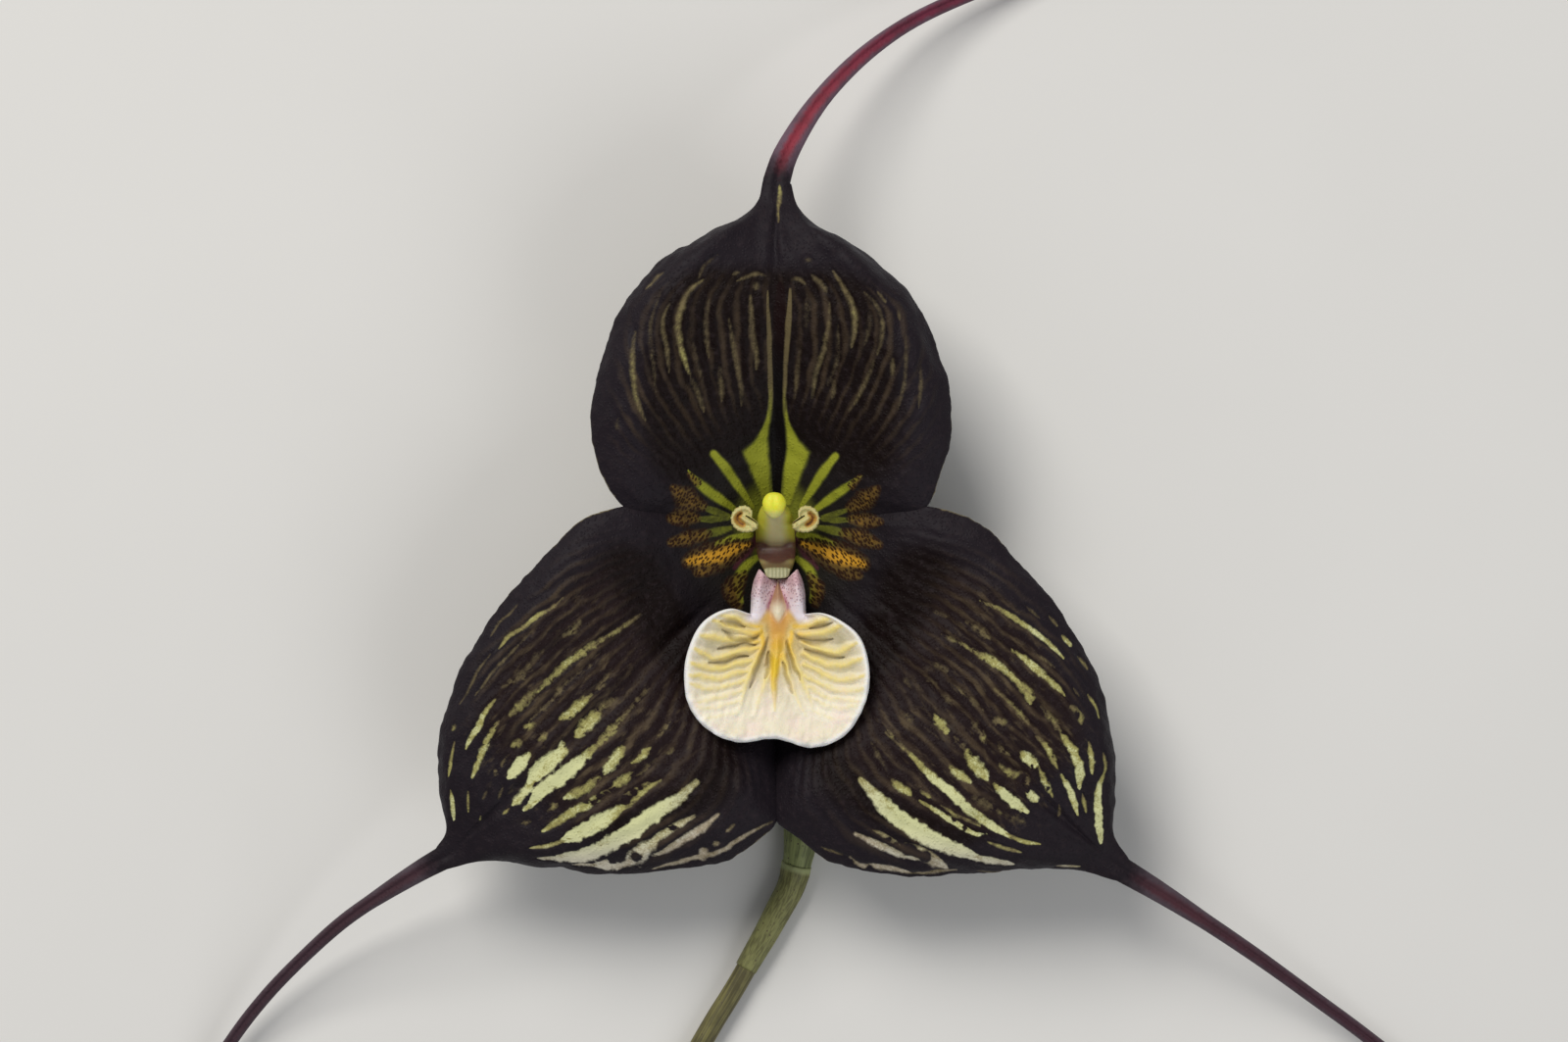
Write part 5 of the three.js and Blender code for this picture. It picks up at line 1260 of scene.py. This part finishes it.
def lip_finish():
    f = Finish("lip_flesh", specular_ior_level=0.3, subsurface_weight=0.15, subsurface_scale=0.0006)
    f.shader.inputs["Subsurface Radius"].default_value = (1.0, 0.7, 0.4)
    field, warm, midline = f.stored("rib")
    claw, keel, throat_shade = f.stored("claw")
    rim, rear, lower = f.stored("rim")
    fine, soft = f.noise(0.35, 4), f.noise(1.6, 3)
    y = f.parts(f.place)[1]

    crease = f.number("crease")
    # painted shade: the furrows between the ribs are painted darker than the slopes, most towards the
    # throat
    furrow = f.mixed(throat_shade, (240, 230, 204), (190, 180, 146))
    furrow = f.mixed(f.scaled(warm, 0.85), furrow, (186, 150, 66))
    crest = f.mixed(lower, (238, 216, 130), (246, 232, 186))
    crest = f.mixed(f.step(warm, 0.1, 0.9), crest, (238, 192, 52))
    crest = f.mixed(f.scaled(rim, 0.7), crest, (244, 238, 222))
    wander = f.sum(field, f.swing(fine, 0.9))
    # painted shade on the slopes as well, towards the throat
    slope = f.mixed(throat_shade, (248, 239, 216), (226, 214, 172))
    slope = f.mixed(f.scaled(warm, 0.7), slope, (224, 188, 84))
    flesh = f.mixed(f.step(wander, -0.6, 0.35), furrow, slope)
    flesh = f.mixed(f.step(f.sum(wander, f.scaled(lower, -0.3)), 0.15, 1.0, 0, 0.95), flesh, crest)
    # painted shade: the deepest creases are darkened brown, most near the throat
    dark = f.step(f.sum(crease, f.swing(fine, 0.6)), -0.3, 0.8)
    dark = f.times(dark, f.scaled(warm, 0.45, 0.4), clamp=True)
    flesh = f.mixed(dark, flesh, (120, 98, 40))
    glow = f.times(f.step(y, -8.5 * MM, -7.2 * MM), f.step(warm, 0.4, 0.9))
    flesh = f.mixed(f.scaled(glow, 0.85), flesh, (228, 182, 98))
    gold = f.mixed(f.step(y, -11.5 * MM, -7.8 * MM), (234, 196, 50), (212, 156, 80))
    flesh = f.mixed(f.times(midline, f.scaled(lower, -0.7, 0.95)), flesh, gold)
    blush = f.times(f.step(soft, 0.45, 0.7), f.scaled(lower, 0.5, 0.1))
    flesh = f.mixed(blush, flesh, (244, 222, 212))
    flesh = f.mixed(rim, flesh, (249, 246, 240))
    flesh = f.mixed(claw, flesh, claw_face(f, keel, y, soft))
    grainy = f.sum(fine, f.scaled(f.step(f.cells(0.25), 0.6, 0.0), 0.6))
    flesh = f.mixed(rear, flesh, (240, 228, 200))
    return f.made(flesh, f.scaled(fine, 0.25, 0.38), grainy, 0.05, 0.7)


lip_skin(lip_finish())

# %% [markdown]
# ## Column, foot and hinge
# The column leans back from the ring to its cap, and its foot reaches forward to the hinge that
# carries the lip. Both are tubes of oval rings standing across a path in the plane of symmetry.
# The column's front is a glassy beige strip between yellow-green flanks, with wine-coloured
# shading where the foot sets off.

# %% Column, foot and hinge shapes
# from under the cap down to the bend, and forward to the hinge: x, y, z, half width, half depth
COLUMN = [
    [-0.1, 3.1, 12.6, 1.0, 0.75], [-0.05, 2.5, 11.8, 1.42, 0.9], [0, 1.7, 10.8, 1.7, 1.0],
    [0, 0.8, 9.7, 1.78, 1.0], [0.02, 0, 8.95, 1.84, 0.9], [0.06, -0.8, 8.75, 1.84, 0.75],
    [0.12, -1.6, 9.15, 1.74, 0.6], [0.2, -2.4, 10.1, 1.5, 0.48], [0.26, -3.0, 11.1, 1.2, 0.38],
]
COLUMN_BASE = [[0, 0.35, 7.45, 1.72, 1.72], [0, 0.4, 8.2, 1.6, 1.5], [0, 0.6, 8.9, 1.3, 1.1]]


def standing_rings(sections, rows, sides, squareness=0.0):
    """Ovals of half width and half depth across a path: x + w cos(a), and d sin(a) along the
    direction that is square to the path in the plane of symmetry."""
    values = curve(sections)(np.linspace(0, 1, rows))
    ahead = unit(np.gradient(values[:, :3], axis=0))
    front = unit(stacked(0, ahead[:, 2], -ahead[:, 1]))
    a = round_turn(sides)
    shape = 1 + squareness * np.sin(2 * a) ** 2
    rings = np.repeat(values[:, None, :3], sides, 1)
    rings[..., 0] += values[:, 3:4] * np.cos(a) * shape
    return rings + front[:, None] * (values[:, 4:5] * np.sin(a) * shape)[..., None]


def column_fields(rings):
    """How far each point lies in the beige strip, the wine shading and the bare foot, in plan.
    The wine band lies over the bend, and is highest at the sides."""
    x, y = rings[..., 0] - 0.06, rings[..., 1]
    strip_half = np.interp(-y, [-2.6, -1, 0, 1.6], [0.66, 0.8, 1.0, 1.5])
    strip = 1 - np.abs(x) / strip_half
    wine = np.clip(1.6 * bell(y + 1.5 - 0.45 * smooth(np.abs(x), 0.3, 1.4), 1.0), 0, 1)
    return stacked(strip, wine, smooth(-y, 1.9, 2.5))


def column_finish():
    f = Finish("column_flesh", specular_ior_level=0.4, subsurface_weight=0.2, subsurface_scale=0.0005)
    strip, wine, foot = f.stored("zone")
    soft, fine = f.noise(1.1, 3), f.noise(0.3, 3)
    flank = f.mixed(soft, (176, 172, 40), (206, 202, 78))
    body = f.mixed(soft, (194, 180, 126), (214, 204, 152))
    body = f.mixed(f.step(f.sum(strip, f.scaled(soft, 0.3)), -0.5, 0.8), flank, body)
    body = f.mixed(f.times(wine, f.scaled(soft, 0.4, 0.8), clamp=True), body, (84, 52, 44))
    body = f.mixed(f.scaled(foot, 0.85), body, (102, 80, 54))
    return f.made(body, f.scaled(fine, 0.2, 0.34), f.sum(fine, soft), 0.04, 0.6)


column_flesh = column_finish()
for part, sections, rows in (("column_body", COLUMN, 96), ("column_base", COLUMN_BASE, 24)):
    rings = standing_rings(sections, rows, sides=72, squareness=0.05)
    grow(part, rings, column_flesh, "column", ["column"], zone=column_fields(rings))

# %% The striped hinge


def hinge_finish():
    f = Finish("hinge_flesh", specular_ior_level=0.45)
    x = f.parts(f.place)[0]
    soft = f.noise(0.5, 3)
    bars = f.math("SINE", f.scaled(f.sum(x, f.scaled(soft, 0.0001)), 2 * np.pi / (0.34 * MM)))
    skin = f.mixed(f.step(bars, -0.2, 0.9, 0, 0.55), (174, 170, 130), (134, 136, 100))
    return f.made(skin, f.scaled(soft, 0.2, 0.35), f.sum(bars, soft), 0.03, 0.6)


def hinge_rings():
    """A little pillow: superellipse rings that narrow towards the lip."""
    u = np.linspace(0, 1, 30)
    half = 1.35 - 0.38 * u
    swell = np.sqrt(np.clip(1 - (2 * u - 1) ** 6, 0.01, 1))
    a = round_turn(48)
    corner = np.sign(np.cos(a)) * np.abs(np.cos(a)) ** 0.5
    lift = np.sign(np.sin(a)) * np.abs(np.sin(a)) ** 0.6
    x = 0.2 + (half * swell)[:, None] * corner
    z = (11.15 + 0.55 * u)[:, None] + 0.42 * swell[:, None] * lift
    return stacked(x, (-2.62 - 1.05 * u)[:, None], z)


grow("lip_hinge", hinge_rings(), hinge_finish(), "column")

# %% [markdown]
# ## The anther cap
# A small yellow dome sits on the column's tip. It is a sphere of parallels and meridians with a
# shallow furrow down its middle and a blunt beak towards the lip, paler where it meets the beak.

# %% Anther cap
CAP_PLACE = np.array([-0.1, 3.3, 13.25])
CAP_RADIUS, CAP_HEIGHT, CAP_BEAK, CAP_FURROW = 1.1, 0.75, 0.3, 0.12


def cap_rings():
    """Parallels of a sphere, with z flattened below, and y drawn out into the beak."""
    polar = np.linspace(0.012, np.pi - 0.012, 48)[:, None]
    a = round_turn(72)
    x, y, z = np.sin(polar) * np.cos(a), np.sin(polar) * np.sin(a), np.cos(polar)
    beak = CAP_BEAK * np.clip(-y, 0, 1) ** 2 * (1 - np.abs(z))
    furrow = CAP_FURROW * bell(x, 0.22) * np.clip(z, 0, 1)
    height = np.where(z > 0, (CAP_HEIGHT - furrow) * z, 0.5 * CAP_HEIGHT * z)
    shape = stacked(CAP_RADIUS * x, CAP_RADIUS * 0.97 * y - beak, height)
    return CAP_PLACE + shape * (1 + 0.012 * ripple(shape, 0.9, 81))[..., None]


def cap_finish():
    f = Finish("anther_wax", specular_ior_level=0.35, subsurface_weight=0.2, subsurface_scale=0.0004)
    low = f.number("low")
    soft, fine = f.noise(0.8, 3), f.noise(0.12, 3)
    yellow = f.mixed(soft, (226, 222, 40), (240, 238, 84))
    wax = f.mixed(f.scaled(low, 0.8), yellow, (214, 208, 136))
    grainy = f.sum(fine, f.step(f.cells(0.14), 0.6, 0.0))
    return f.made(wax, f.scaled(fine, 0.25, 0.42), grainy, 0.02, 0.7)


cap = cap_rings()
beak_side = smooth(CAP_PLACE[1] - cap[..., 1], 0.45, 1.1)
grow("anther_dome", cap, cap_finish(), "anther", ["anther_cap"], low=beak_side)

# %% [markdown]
# ## The two petals
# Each petal is a tiny two-lobed clapper beside the column: a thick cream rim curls round a brown
# pocket, and a pale bar crosses it towards the column. The outline is a radius for each
# direction, and the rim, the bar and the pocket are strokes that raise or sink its top.

# %% Petal shape
PETAL_PLACE = np.array([2.8, 1.85, 12.0])
PETAL_ROOT = np.array([2.15, 1.1, 8.4])
PETAL_THICK, PETAL_SIDES = 0.75, 96
PETAL_TOP = 0.84  # the share of the radius up to which the top is flat
# directions from the side of the column, through the top, to the outer side and below, with radii
OUTLINE_TURNS = np.radians([0, 20, 45, 75, 100, 140, 180, 220, 260, 295, 325, 345])
OUTLINE_RADII = [0.75, 0.62, 1.0, 1.22, 1.28, 1.32, 1.33, 1.28, 1.22, 1.28, 1.5, 1.25]
# strokes on the top: their points from its middle, and half widths evenly spaced along them
BAR = [(-0.45, 0.2), (0.35, -0.25), (1.15, -0.78)], [0.22, 0.32, 0.36]
POCKET = [(-0.42, 0.52), (-0.74, 0.1), (-0.5, -0.32), (-0.2, -0.5)], [0.12, 0.2, 0.14]
SLIT = [(0.1, 0.3), (0.6, 0.0), (1.2, -0.42)], [0.05, 0.08, 0.07]


def petal_rings(side):
    """Rings from the root up a short stalk, round the rim, and in over the top to its middle."""
    turns = round_turn(PETAL_SIDES)
    wrapped = np.concatenate([OUTLINE_TURNS - 2 * np.pi, OUTLINE_TURNS, OUTLINE_TURNS + 2 * np.pi])
    radius = np.interp(turns, wrapped, np.tile(OUTLINE_RADII, 3))
    radius = np.convolve(np.tile(radius, 3), np.ones(7) / 7, "same")[PETAL_SIDES:-PETAL_SIDES]
    radius *= 1 + 0.02 * np.sin(turns * 17) + 0.015 * np.sin(turns * 29 + 1)
    around = stacked(np.cos(turns), np.sin(turns)) * radius[:, None]

    stalk = np.linspace(0, 1, 14)[:, None]
    stalk_share = 0.24 + 0.12 * stalk + 0.5 * smooth(stalk, 0.72, 1)
    rim = np.linspace(-np.pi / 2, np.pi / 2, 18)[:, None]
    rim_share = PETAL_TOP + (1 - PETAL_TOP) * np.cos(rim)
    top = (1 - np.linspace(0.02, 0.995, 40))[:, None] * PETAL_TOP
    share = np.vstack([stalk_share, rim_share, top])
    flat = share[..., None] * around

    ridge = smooth(share, 0.5, 0.8) + 0 * turns
    bar = smooth(stroke(flat, *BAR)[0], -0.3, 0.8)
    pocket = stroke(flat, *POCKET)[0]
    slit = smooth(stroke(flat, *SLIT)[0], -0.4, 0.7)
    lift = 0.3 * ridge + 0.34 * bar - 0.3 * smooth(pocket, -1.4, 0.6) - 0.4 * slit
    middle = PETAL_THICK / 2
    root = PETAL_ROOT[2] - PETAL_PLACE[2]
    height = np.vstack([root - (root + middle) * stalk, middle * np.sin(rim), middle + 0 * top])
    on_top = np.vstack([0 * stalk, smooth(np.sin(rim), 0, 1), np.ones_like(top)])
    height = height + (lift - 0.35) * on_top
    lean = np.vstack([smooth(stalk, 0, 0.8), np.ones_like(rim), np.ones_like(top)])[..., None]
    centre = PETAL_ROOT[:2] + (PETAL_PLACE[:2] - PETAL_ROOT[:2]) * lean
    place = np.concatenate([centre + flat * [-1, 1], PETAL_PLACE[2] + height[..., None]], -1)
    place[..., 0] *= side
    hollow = np.where(on_top > 0.5, np.clip(pocket, -3, 1), -3.0)
    stem = (1 - smooth(share, 0.2, 0.5)) * (1 - on_top) + 0 * turns
    return place, stacked(hollow, slit * on_top, stem)


def petal_finish():
    f = Finish("petal_wax", specular_ior_level=0.4, subsurface_weight=0.15, subsurface_scale=0.0004)
    pocket, slit, stalk = f.stored("hollow")
    soft, fine = f.noise(0.6, 3), f.noise(0.12, 3)
    cream = f.mixed(soft, (178, 167, 94), (224, 214, 154))
    ragged = f.sum(pocket, f.swing(soft, 1.2))
    skin = f.mixed(f.step(ragged, -1.9, 0.3), cream, (196, 150, 68))
    skin = f.mixed(f.step(ragged, -0.2, 1.1), skin, (112, 68, 28))
    skin = f.mixed(f.step(slit, 0.2, 0.8), skin, (112, 98, 40))
    skin = f.mixed(stalk, skin, (150, 148, 60))
    grainy = f.sum(fine, f.step(f.cells(0.12), 0.6, 0.0))
    return f.made(skin, f.scaled(fine, 0.25, 0.36), grainy, 0.02, 0.7)


petal_wax = petal_finish()
for petal, side in (("left_petal", -1), ("right_petal", 1)):
    rings, hollow = petal_rings(side)
    grow(petal + "_clapper", rings, petal_wax, "petal", [petal], hollow=hollow)

# %% [markdown]
# ## Ovary, bract and stalk
# Behind the bloom the ovary turns at its knee and narrows into the pedicel, which a green bract
# clasps where it joins the stalk. All three are tubes: rings across a curve that lies along
# the surface, with ribs on the ovary and a cut end on the stalk.

# %% Tubes along the surface
OVARY = [
    [0, 0.4, 7.2], [0, 0.42, 6.6], [0, 1.1, 5.4], [0, 1.7, 3.9], [0, 1.2, 2.4], [0, -0.3, 1.4],
    [0, -2.4, 1.35], [0.5, -8, 1.7], [1.2, -15, 1.9], [2, -22.5, 1.75], [2.4, -27.5, 1.55],
    [1.95, -30.9, 1.34],
]
STALK = [
    [-2.45, -39.6, 1.2], [-4, -42.3, 1.1], [-5.9, -45.4, 1], [-11, -54.5, 0.96], [-17, -65.5, 0.94],
    [-23.4, -77, 0.94], [-30, -89, 0.94],
]
PEDICEL_RADIUS = 0.6  # inside the bract
BRACT_ROWS, BRACT_SIDES = 64, 64
BRACT = [
    [2.02, -30.5, 1.42], [1.75, -31.55, 1.36], [1.35, -32.7, 1.34], [0.55, -34.2, 1.34],
    [-0.86, -36.82, 1.3], [-2.3, -39.3, 1.22], [-2.72, -40.05, 1.19],
]


def tube(path, rows, sides, reach):
    """Rings of radius reach(angle, share, centre) square to a path, with -90 degrees straight
    down. Nothing goes below the surface that the flower lies on."""
    share = np.linspace(0, 1, rows)
    centre = curve(path)(share)
    ahead = unit(np.gradient(centre, axis=0))
    across = stacked(ahead[:, 1], -ahead[:, 0], 0)
    steep = (np.linalg.norm(across, axis=1) < 0.15) | (np.abs(ahead[:, 0]) < 0.05)
    across[steep] = [-1, 0, 0]
    across = unit(across)
    up = unit(np.cross(across, ahead))
    angle = round_turn(sides) - np.pi / 2
    r = reach(angle[None], share[:, None], centre[:, None])[..., None] * np.ones((rows, sides, 1))
    turn = stacked(np.cos(angle), np.sin(angle), share[:, None])
    rings = centre[:, None] + r * (across[:, None] * turn[..., :1] + up[:, None] * turn[..., 1:2])
    rings[..., 2] = np.maximum(rings[..., 2], 0.01)
    return rings, turn


def ovary_reach(angle, share, centre):
    """1.5 at the top, 1.62 in the middle and 1.3 at the neck, with six ribs of 0.16."""
    body = 1.5 + 0.12 * smooth(share, 0.2, 0.45)
    body = body + (1.3 - body) * smooth(-centre[..., 1], 27, 31.2)
    ribbed = smooth(share, 0.02, 0.12) * (1 - smooth(share, 0.5, 0.85))
    return body + 0.16 * ribbed * (np.cos(6 * (angle + np.pi / 2)) - 1) * 0.5


def stem_finish(name, pale, deep, vein_colour, cut=None, mouth=None):
    """Green flesh with fine streaks along it and a few dark specks, another colour at its cut
    end, and a paler rim round its mouth."""
    f = Finish(name, specular_ior_level=0.35)
    side, rise, share = f.stored("turn")
    run = f.joined(side, rise, f.scaled(share, 1.2))
    streaks = f.node("ShaderNodeTexNoise", {"Vector": run, "Scale": 9.0, "Detail": 4.0}).outputs["Fac"]
    soft, fine = f.noise(2.5, 3), f.noise(0.2, 3)
    skin = f.mixed(f.step(f.sum(streaks, f.swing(soft, 0.6)), 0.38, 0.62), deep, pale)
    specks = f.times(f.step(f.cells(0.5), 0.22, 0.1), f.step(soft, 0.45, 0.6))
    skin = f.mixed(specks, skin, vein_colour)
    if cut:
        skin = f.mixed(f.step(share, 1.0, 1.5), skin, cut)
    if mouth:
        skin = f.mixed(f.step(f.sum(share, f.scaled(soft, 0.04)), 0.09, 0.05), skin, mouth)
    return f.made(skin, f.scaled(fine, 0.3, 0.34), f.sum(streaks, f.scaled(fine, 0.4)), 0.08, 0.8)


ovary_skin = stem_finish("ovary_skin", (140, 148, 92), (92, 98, 58), (66, 46, 44))
stalk_skin = stem_finish(
    "stalk_skin", (118, 112, 64), (78, 72, 42), (56, 40, 36), (196, 202, 148))
bract_skin = stem_finish(
    "bract_skin", (130, 130, 78), (96, 94, 54), (80, 62, 46),
    mouth=(158, 164, 112))

rings, turn = tube(OVARY, rows=150, sides=96, reach=ovary_reach)
grow("ovary_body", rings, ovary_skin, "ovary", ["ovary"], turn=turn)
rings, turn = tube(BRACT[:4], rows=12, sides=32, reach=lambda a, u, c: PEDICEL_RADIUS + 0 * u)
grow("pedicel_end", rings, ovary_skin, "ovary", ["ovary"], turn=turn)

# %% The bract's sleeve


def bract_rings():
    """Out along the outside, which has a soft rim at its slanted mouth, and back inside. The
    pedicel passes through the mouth's end face, and the stalk through the other."""
    def skin(a, u, c):
        return 1.38 - 0.34 * u + 0.05 * bell(u - 0.05, 0.045) + 0.02 * np.cos(9 * a)

    def hollow(a, u, c):
        return 1.02 - 0.3 * smooth(u, 0, 0.15) + 0 * a

    outside, turn = tube(BRACT, BRACT_ROWS, BRACT_SIDES, skin)
    inside, _ = tube(BRACT, BRACT_ROWS, BRACT_SIDES, hollow)
    slant = 0.2 * (1 + np.cos((np.arange(BRACT_SIDES) / BRACT_SIDES) * 2 * np.pi))
    mouth = (1 - smooth(turn[..., 2], 0, 0.1)) * slant
    outside[..., 1] += mouth
    inside[..., 1] += mouth
    return np.concatenate([outside, inside[::-1]]), np.concatenate([turn, turn[::-1]])


rings, turn = bract_rings()
grow("bract_sleeve", rings, bract_skin, "bract", ["floral_bract"], sleeve=True, turn=turn)

# %% The stalk and its cut end


def stalk_rings():
    """A tube with a faint joint, whose last rings close over the cut end."""
    def reach(angle, share, centre):
        joint = 0.07 * bell(share - 0.42, 0.012) + 0.03 * np.cos(5 * angle) * smooth(share, 0.02, 0.1)
        return 0.94 + joint + 0.03 * np.sin(9 * share)

    rings, turn = tube(STALK, rows=160, sides=64, reach=reach)
    middle = rings[-1].mean(0)
    shares = np.array([0.96, 0.8, 0.5, 0.25, 0.03])[:, None, None]
    close = middle + (rings[-1] - middle) * shares
    pith = np.repeat(turn[-1:], len(shares), 0)
    pith[..., 2] = 2.0
    return np.concatenate([rings, close]), np.concatenate([turn, pith])


rings, turn = stalk_rings()
grow("stalk_body", rings, stalk_skin, "stalk", ["flower_stalk"], turn=turn)

# %% [markdown]
# ## Camera, light and floor
# The camera looks straight down on the bloom from two metres, with a long lens, so that tails
# on the floor and the lip above it keep their true plan. A broad soft light comes from above
# the dorsal sepal, and a weaker one fills from below, over a pale matt floor.

# %% Camera
VIEW_CENTRE = (0.818, 1.68, 13.0)  # the middle of the view, in millimetres
VIEW_WIDTH = 145.45
CAMERA_DISTANCE = 2000.0
SENSOR = 36.0

lens_data = bpy.data.cameras.new("camera")
lens_data.sensor_width = SENSOR
lens_data.lens = SENSOR * CAMERA_DISTANCE / VIEW_WIDTH
camera = bpy.data.objects.new("camera", lens_data)
camera.location = Vector(VIEW_CENTRE) * MM + Vector((0, 0, CAMERA_DISTANCE * MM))
bpy.context.scene.collection.objects.link(camera)
bpy.context.scene.camera = camera

# %% Lights and floor


def soft_light(name, place, size, power, colour):
    """A square area light that faces the bloom."""
    data = bpy.data.lights.new(name, "AREA")
    data.size, data.energy, data.color = size, power, colour
    lamp = bpy.data.objects.new(name, data)
    lamp.location = place
    lamp.rotation_euler = (-Vector(place)).to_track_quat("-Z", "Y").to_euler()
    bpy.context.scene.collection.objects.link(lamp)


soft_light("key", (-0.35, 0.55, 0.75), 0.5, 7.5, (1.0, 0.98, 0.95))
soft_light("fill", (0.5, -0.55, 0.6), 0.6, 2.5, (0.95, 0.97, 1.0))

world = bpy.data.worlds.new("studio")
world.use_nodes = True
world.node_tree.nodes["Background"].inputs[0].default_value = (0.9, 0.93, 1.0, 1)
world.node_tree.nodes["Background"].inputs[1].default_value = 0.25
bpy.context.scene.world = world
bpy.context.scene.view_settings.view_transform = "Standard"


def floor_finish():
    f = Finish("floor_paper", specular_ior_level=0.2, roughness=0.8)
    return f.coloured(f.mixed(f.noise(40.0, 3), (222, 220, 215), (228, 226, 221)))


sheet = bpy.data.meshes.new("floor")
half = 2.0
corners = [(-half, -half, 0), (half, -half, 0), (half, half, 0), (-half, half, 0)]
sheet.from_pydata(corners, [], [(0, 1, 2, 3)])
sheet.materials.append(floor_finish())
floor = bpy.data.objects.new("floor", sheet)
bpy.context.scene.collection.objects.link(floor)
